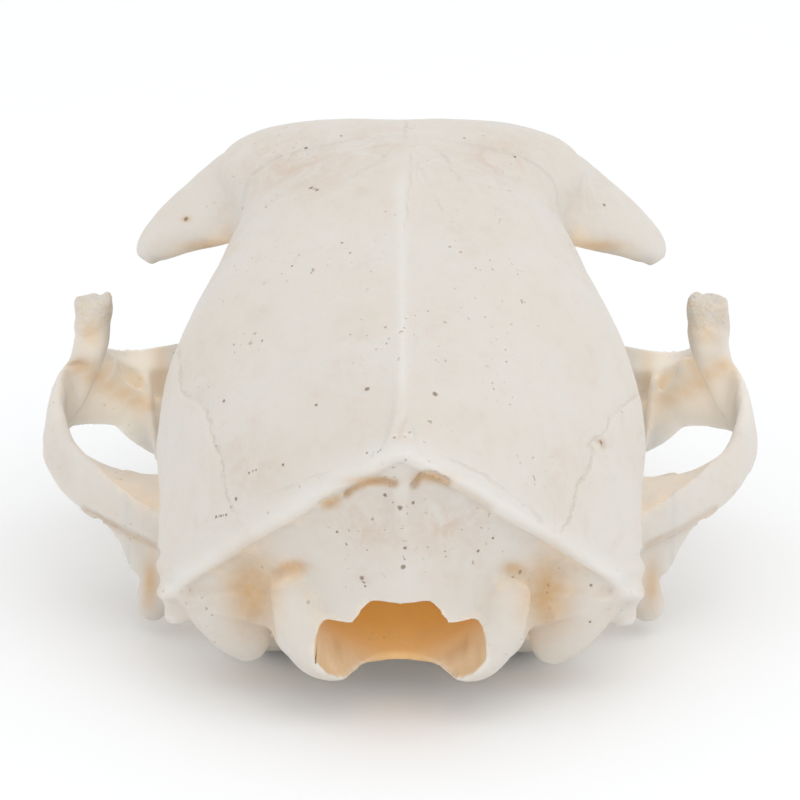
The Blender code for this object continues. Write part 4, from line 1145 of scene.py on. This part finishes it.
def speck_dots(made, grain):
    """The specks: ragged dots about the place that each point carries."""
    ends = {0: made.place, 1: made.mark("speck", "Vector")}
    away = made.add("ShaderNodeVectorMath", "Value", ends, operation="DISTANCE")
    ragged = made.math("ADD", away, made.times(made.math("SUBTRACT", grain, 0.5), 0.25 * MM))
    return made.rise(made.math("DIVIDE", ragged, made.mark("speck_radius")), 1.3, 0.4)


def painted_amber(made):
    """The inside of the skull: painted light and shade, amber as if lit through the thin bone, deeper with
    depth.
    """
    colour = made.blend(made.mark("deep"), PAINTED_AMBER, PAINTED_DEEP_AMBER)
    return made.blend(made.rise(made.noise(3, 3), 0.35, 0.7, 0, 0.3), colour, TAN_SHADE)


def bone(name):
    """Cleaned bone: ivory, lighter on its crests, painted tan shade in its hollows and grooves, painted glow
    in shade and on thin walls, and amber painted light inside the skull.
    """
    made = Nodes(name)
    patches = made.noise(9, 3, 0.6)
    mottle = made.noise(2.2, 4, 0.65)
    grain = made.noise(0.5, 3, 0.6)
    sponge = made.noise(0.9, 4, 0.7)
    colour = made.blend(made.rise(patches, 0.35, 0.65), IVORY, WARM_BONE)
    colour = made.blend(made.rise(mottle, 0.5, 0.8, 0, 0.35), colour, PALE_BONE)
    colour = made.blend(made.rise(mottle, 0.5, 0.25, 0, 0.25), colour, PINK_BONE)
    blotches = made.rise(made.noise(2.6, 5, 0.72, 0.6), 0.36, 0.66, 0.1, 0.9)
    shade = made.rise(made.mark("shade"), 0.1, 0.6)
    tan_shade_breakup = made.rise(made.noise(1.7, 4, 0.65), 0.25, 0.65, 0.7, 1)
    seam = suture_line(made)
    porous = made.rise(made.noise(7, 2), 0.5, 0.62)
    pores = made.times(made.rise(made.noise(0.45, 1, 0.5), 0.72, 0.77), porous)
    dots = speck_dots(made, grain)
    for share, layer in (
        (made.times(made.mark("flush"), blotches), PINK_BONE),
        (made.times(made.mark("ridge"), 0.85), CREST_BONE),
        # Painted shade where other bone shuts out light
        (made.times(shade, 0.8), SHADE_BONE),
        # Tan painted shade in the hollows, broken up by noise
        (made.times(made.mark("hollow"), tan_shade_breakup), TAN_SHADE),
        # Painted shade in the pits of the spongy top of the process behind each eye
        (made.times(made.mark("rough"), made.rise(sponge, 0.6, 0.36, 0, 0.8)), SHADE_BONE),
        (made.times(seam, 0.22), SEAM_BONE),
        (made.times(pores, 0.5), PORE_BONE),
        (made.times(dots, 0.75), SPECK_BONE),
        # Brown painted shade along the grooves
        (made.times(made.mark("groove_shade"), 0.75), GROOVE_SHADE),
        # Amber painted light and shade inside the skull
        (made.mark("inside"), painted_amber(made)),
    ):
        colour = made.blend(share, colour, layer)
    # Painted light, as emission: a warm glow where other bone shuts out light
    painted_glow = made.blend(shade, NO_GLOW, GLOW_IN_SHADE)
    # Painted light: a warm glow on the thin walls
    painted_glow = made.blend(made.mark("thin"), painted_glow, PAINTED_LIGHT_GLOW)
    normal = made.bump(grain, 0.05, 0.35)
    normal = made.bump(made.noise(1.6, 4, 0.6), 0.12, 0.3, normal)
    normal = made.bump(made.times(sponge, made.mark("rough")), 0.5, 1.0, normal)
    normal = made.bump(made.times(made.math("MAXIMUM", pores, dots), -1.0), 0.2, 0.8, normal)
    normal = made.bump(made.times(seam, -1.0), 0.15, 0.45, normal)
    # Painted light: an amber glow low inside the skull
    painted_glow = made.blend(made.mark("painted_inner_glow"), painted_glow, PAINTED_AMBER_GLOW)
    made.feed(made.shader, {"Emission Color": painted_glow, "Emission Strength": GLOW, "Specular IOR Level": SHEEN})
    return made.finished(colour, made.rise(grain, 0.2, 0.8, 0.46, 0.62), BONE_DEPTH, normal)


def enamel():
    """The teeth: white, a little glossy, yellower towards the root."""
    made = Nodes("enamel")
    drop = made.mark("drop")
    colour = made.blend(made.rise(drop, 0.0, 1.3), ROOT_COLOUR, ENAMEL_COLOUR)
    colour = made.blend(made.rise(made.noise(2.5, 3), 0.45, 0.75, 0, 0.3), colour, ROOT_COLOUR)
    colour = made.blend(made.rise(drop, -0.1, -0.7), colour, WARM_BONE)
    gloss = made.rise(made.noise(0.8, 2), 0.3, 0.7, 0.18, 0.32)
    made.feed(made.shader, {"Coat Weight": ENAMEL_COAT})
    return made.finished(colour, gloss, ENAMEL_DEPTH, made.bump(made.noise(0.6, 3), 0.03, 0.3))


# Teeth


def cusp(name, x, s, drop, half_width, half_length, blunt):
    """A point of a tooth: a cone that runs up into the socket, with its tip as broad as `blunt` says."""
    edge = alveolar_line(s)
    outline = ((TOOTH_ROOT, 0.4, 0.45), (0, 1, 1), (-0.3 * drop, 0.95, 0.88 + 0.1 * blunt),
               (-0.65 * drop, 0.7, 0.52 + 0.4 * blunt), (-0.9 * drop, 0.4, 0.26 + 0.6 * blunt),
               (-drop, 0.15, 0.08 + 0.5 * blunt))
    stations = [(x, s, edge + rise, wide * half_width, long * half_length) for rise, wide, long in outline]
    return sweep(name, stations, 20, ACROSS)


def tooth(name, bodies, material):
    """One tooth on each side, its points run together."""
    left = rounded(bodies, TOOTH_ROUNDS, TOOTH_VOXEL)
    left.name = name + "_left"
    pair = both_sides(left)
    pair[1].name = name + "_right"
    for piece in pair:
        points = points_of(piece)
        store(piece, "drop", alveolar_line(points[:, 1]) - points[:, 2])
        piece.data.materials.clear()
        piece.data.materials.append(material)
        piece.data.shade_smooth()
        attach(piece, "root")
        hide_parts("face")
    return pair


def add_teeth():
    material = enamel()
    tooth("canine", [sweep("canine", CANINE, 40, ACROSS)], material)
    for name, cusps in CUSPS.items():
        tooth(name, [cusp(f"{name}_{i}", *size) for i, size in enumerate(cusps)], material)


# Stage


def add_floor():
    shape = bmesh.new()
    bmesh.ops.create_grid(shape, x_segments=1, y_segments=1, size=FLOOR_SIZE)
    mesh = bpy.data.meshes.new("floor")
    shape.to_mesh(mesh)
    shape.free()
    floor = linked("floor", mesh)
    floor.location.z = -FLOOR_GAP
    made = Nodes("floor")
    made.feed(made.shader, {"Base Color": FLOOR_COLOUR, "Roughness": FLOOR_ROUGHNESS})
    floor.data.materials.append(made.material)


def add_light(name, place, target, size, power):
    """A square soft light that faces a point."""
    data = bpy.data.lights.new(name, "AREA")
    data.size = size
    data.energy = power
    light = linked(name, data)
    light.location = place
    light.rotation_euler = (Vector(target) - light.location).to_track_quat("-Z", "Y").to_euler()


def add_world():
    world = bpy.data.worlds.new("studio")
    world.use_nodes = True
    sky = world.node_tree.nodes["Background"].inputs
    sky["Color"].default_value = (*SKY_COLOUR, 1)
    sky["Strength"].default_value = SKY_STRENGTH
    bpy.context.scene.world = world
    bpy.context.scene.view_settings.view_transform = "Standard"


def add_camera():
    """The main view: from behind and above, with a long lens."""
    data = bpy.data.cameras.new("camera")
    data.lens = CAMERA_LENS
    data.sensor_width = SENSOR
    data.clip_start = CLIP_NEAR
    data.clip_end = CLIP_FAR
    camera = linked("camera", data)
    camera.matrix_world = camera_place()
    bpy.context.scene.camera = camera


def main():
    whole = cranium()
    points, normals = points_of(whole), normals_of(whole)
    set_points(whole, points + normals * relief(points, normals)[:, None])
    tree = tree_of(whole)
    pieces = pieces_of(linked("copy", whole.data.copy()))
    mark_pieces(whole, marks(whole, tree, speck_places(tree)), pieces)
    remove_all([whole, bpy.data.objects["copy"]])
    finishes = {"braincase": bone("bone"), "face": bone("face_bone"), "arch": bone("arch_bone")}
    for piece in pieces:
        node = piece.name.removeprefix("bone_")
        part = "arch" if "arch" in node else node
        piece.data.materials.clear()
        piece.data.materials.append(finishes[part])
        piece.data.shade_smooth()
        piece.data.set_sharp_from_angle(angle=SHARP_ANGLE)
        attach(piece, "root")
        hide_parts(node)
    add_teeth()
    add_floor()
    add_world()
    for settings in LIGHTS:
        add_light(*settings)
    add_camera()


main()
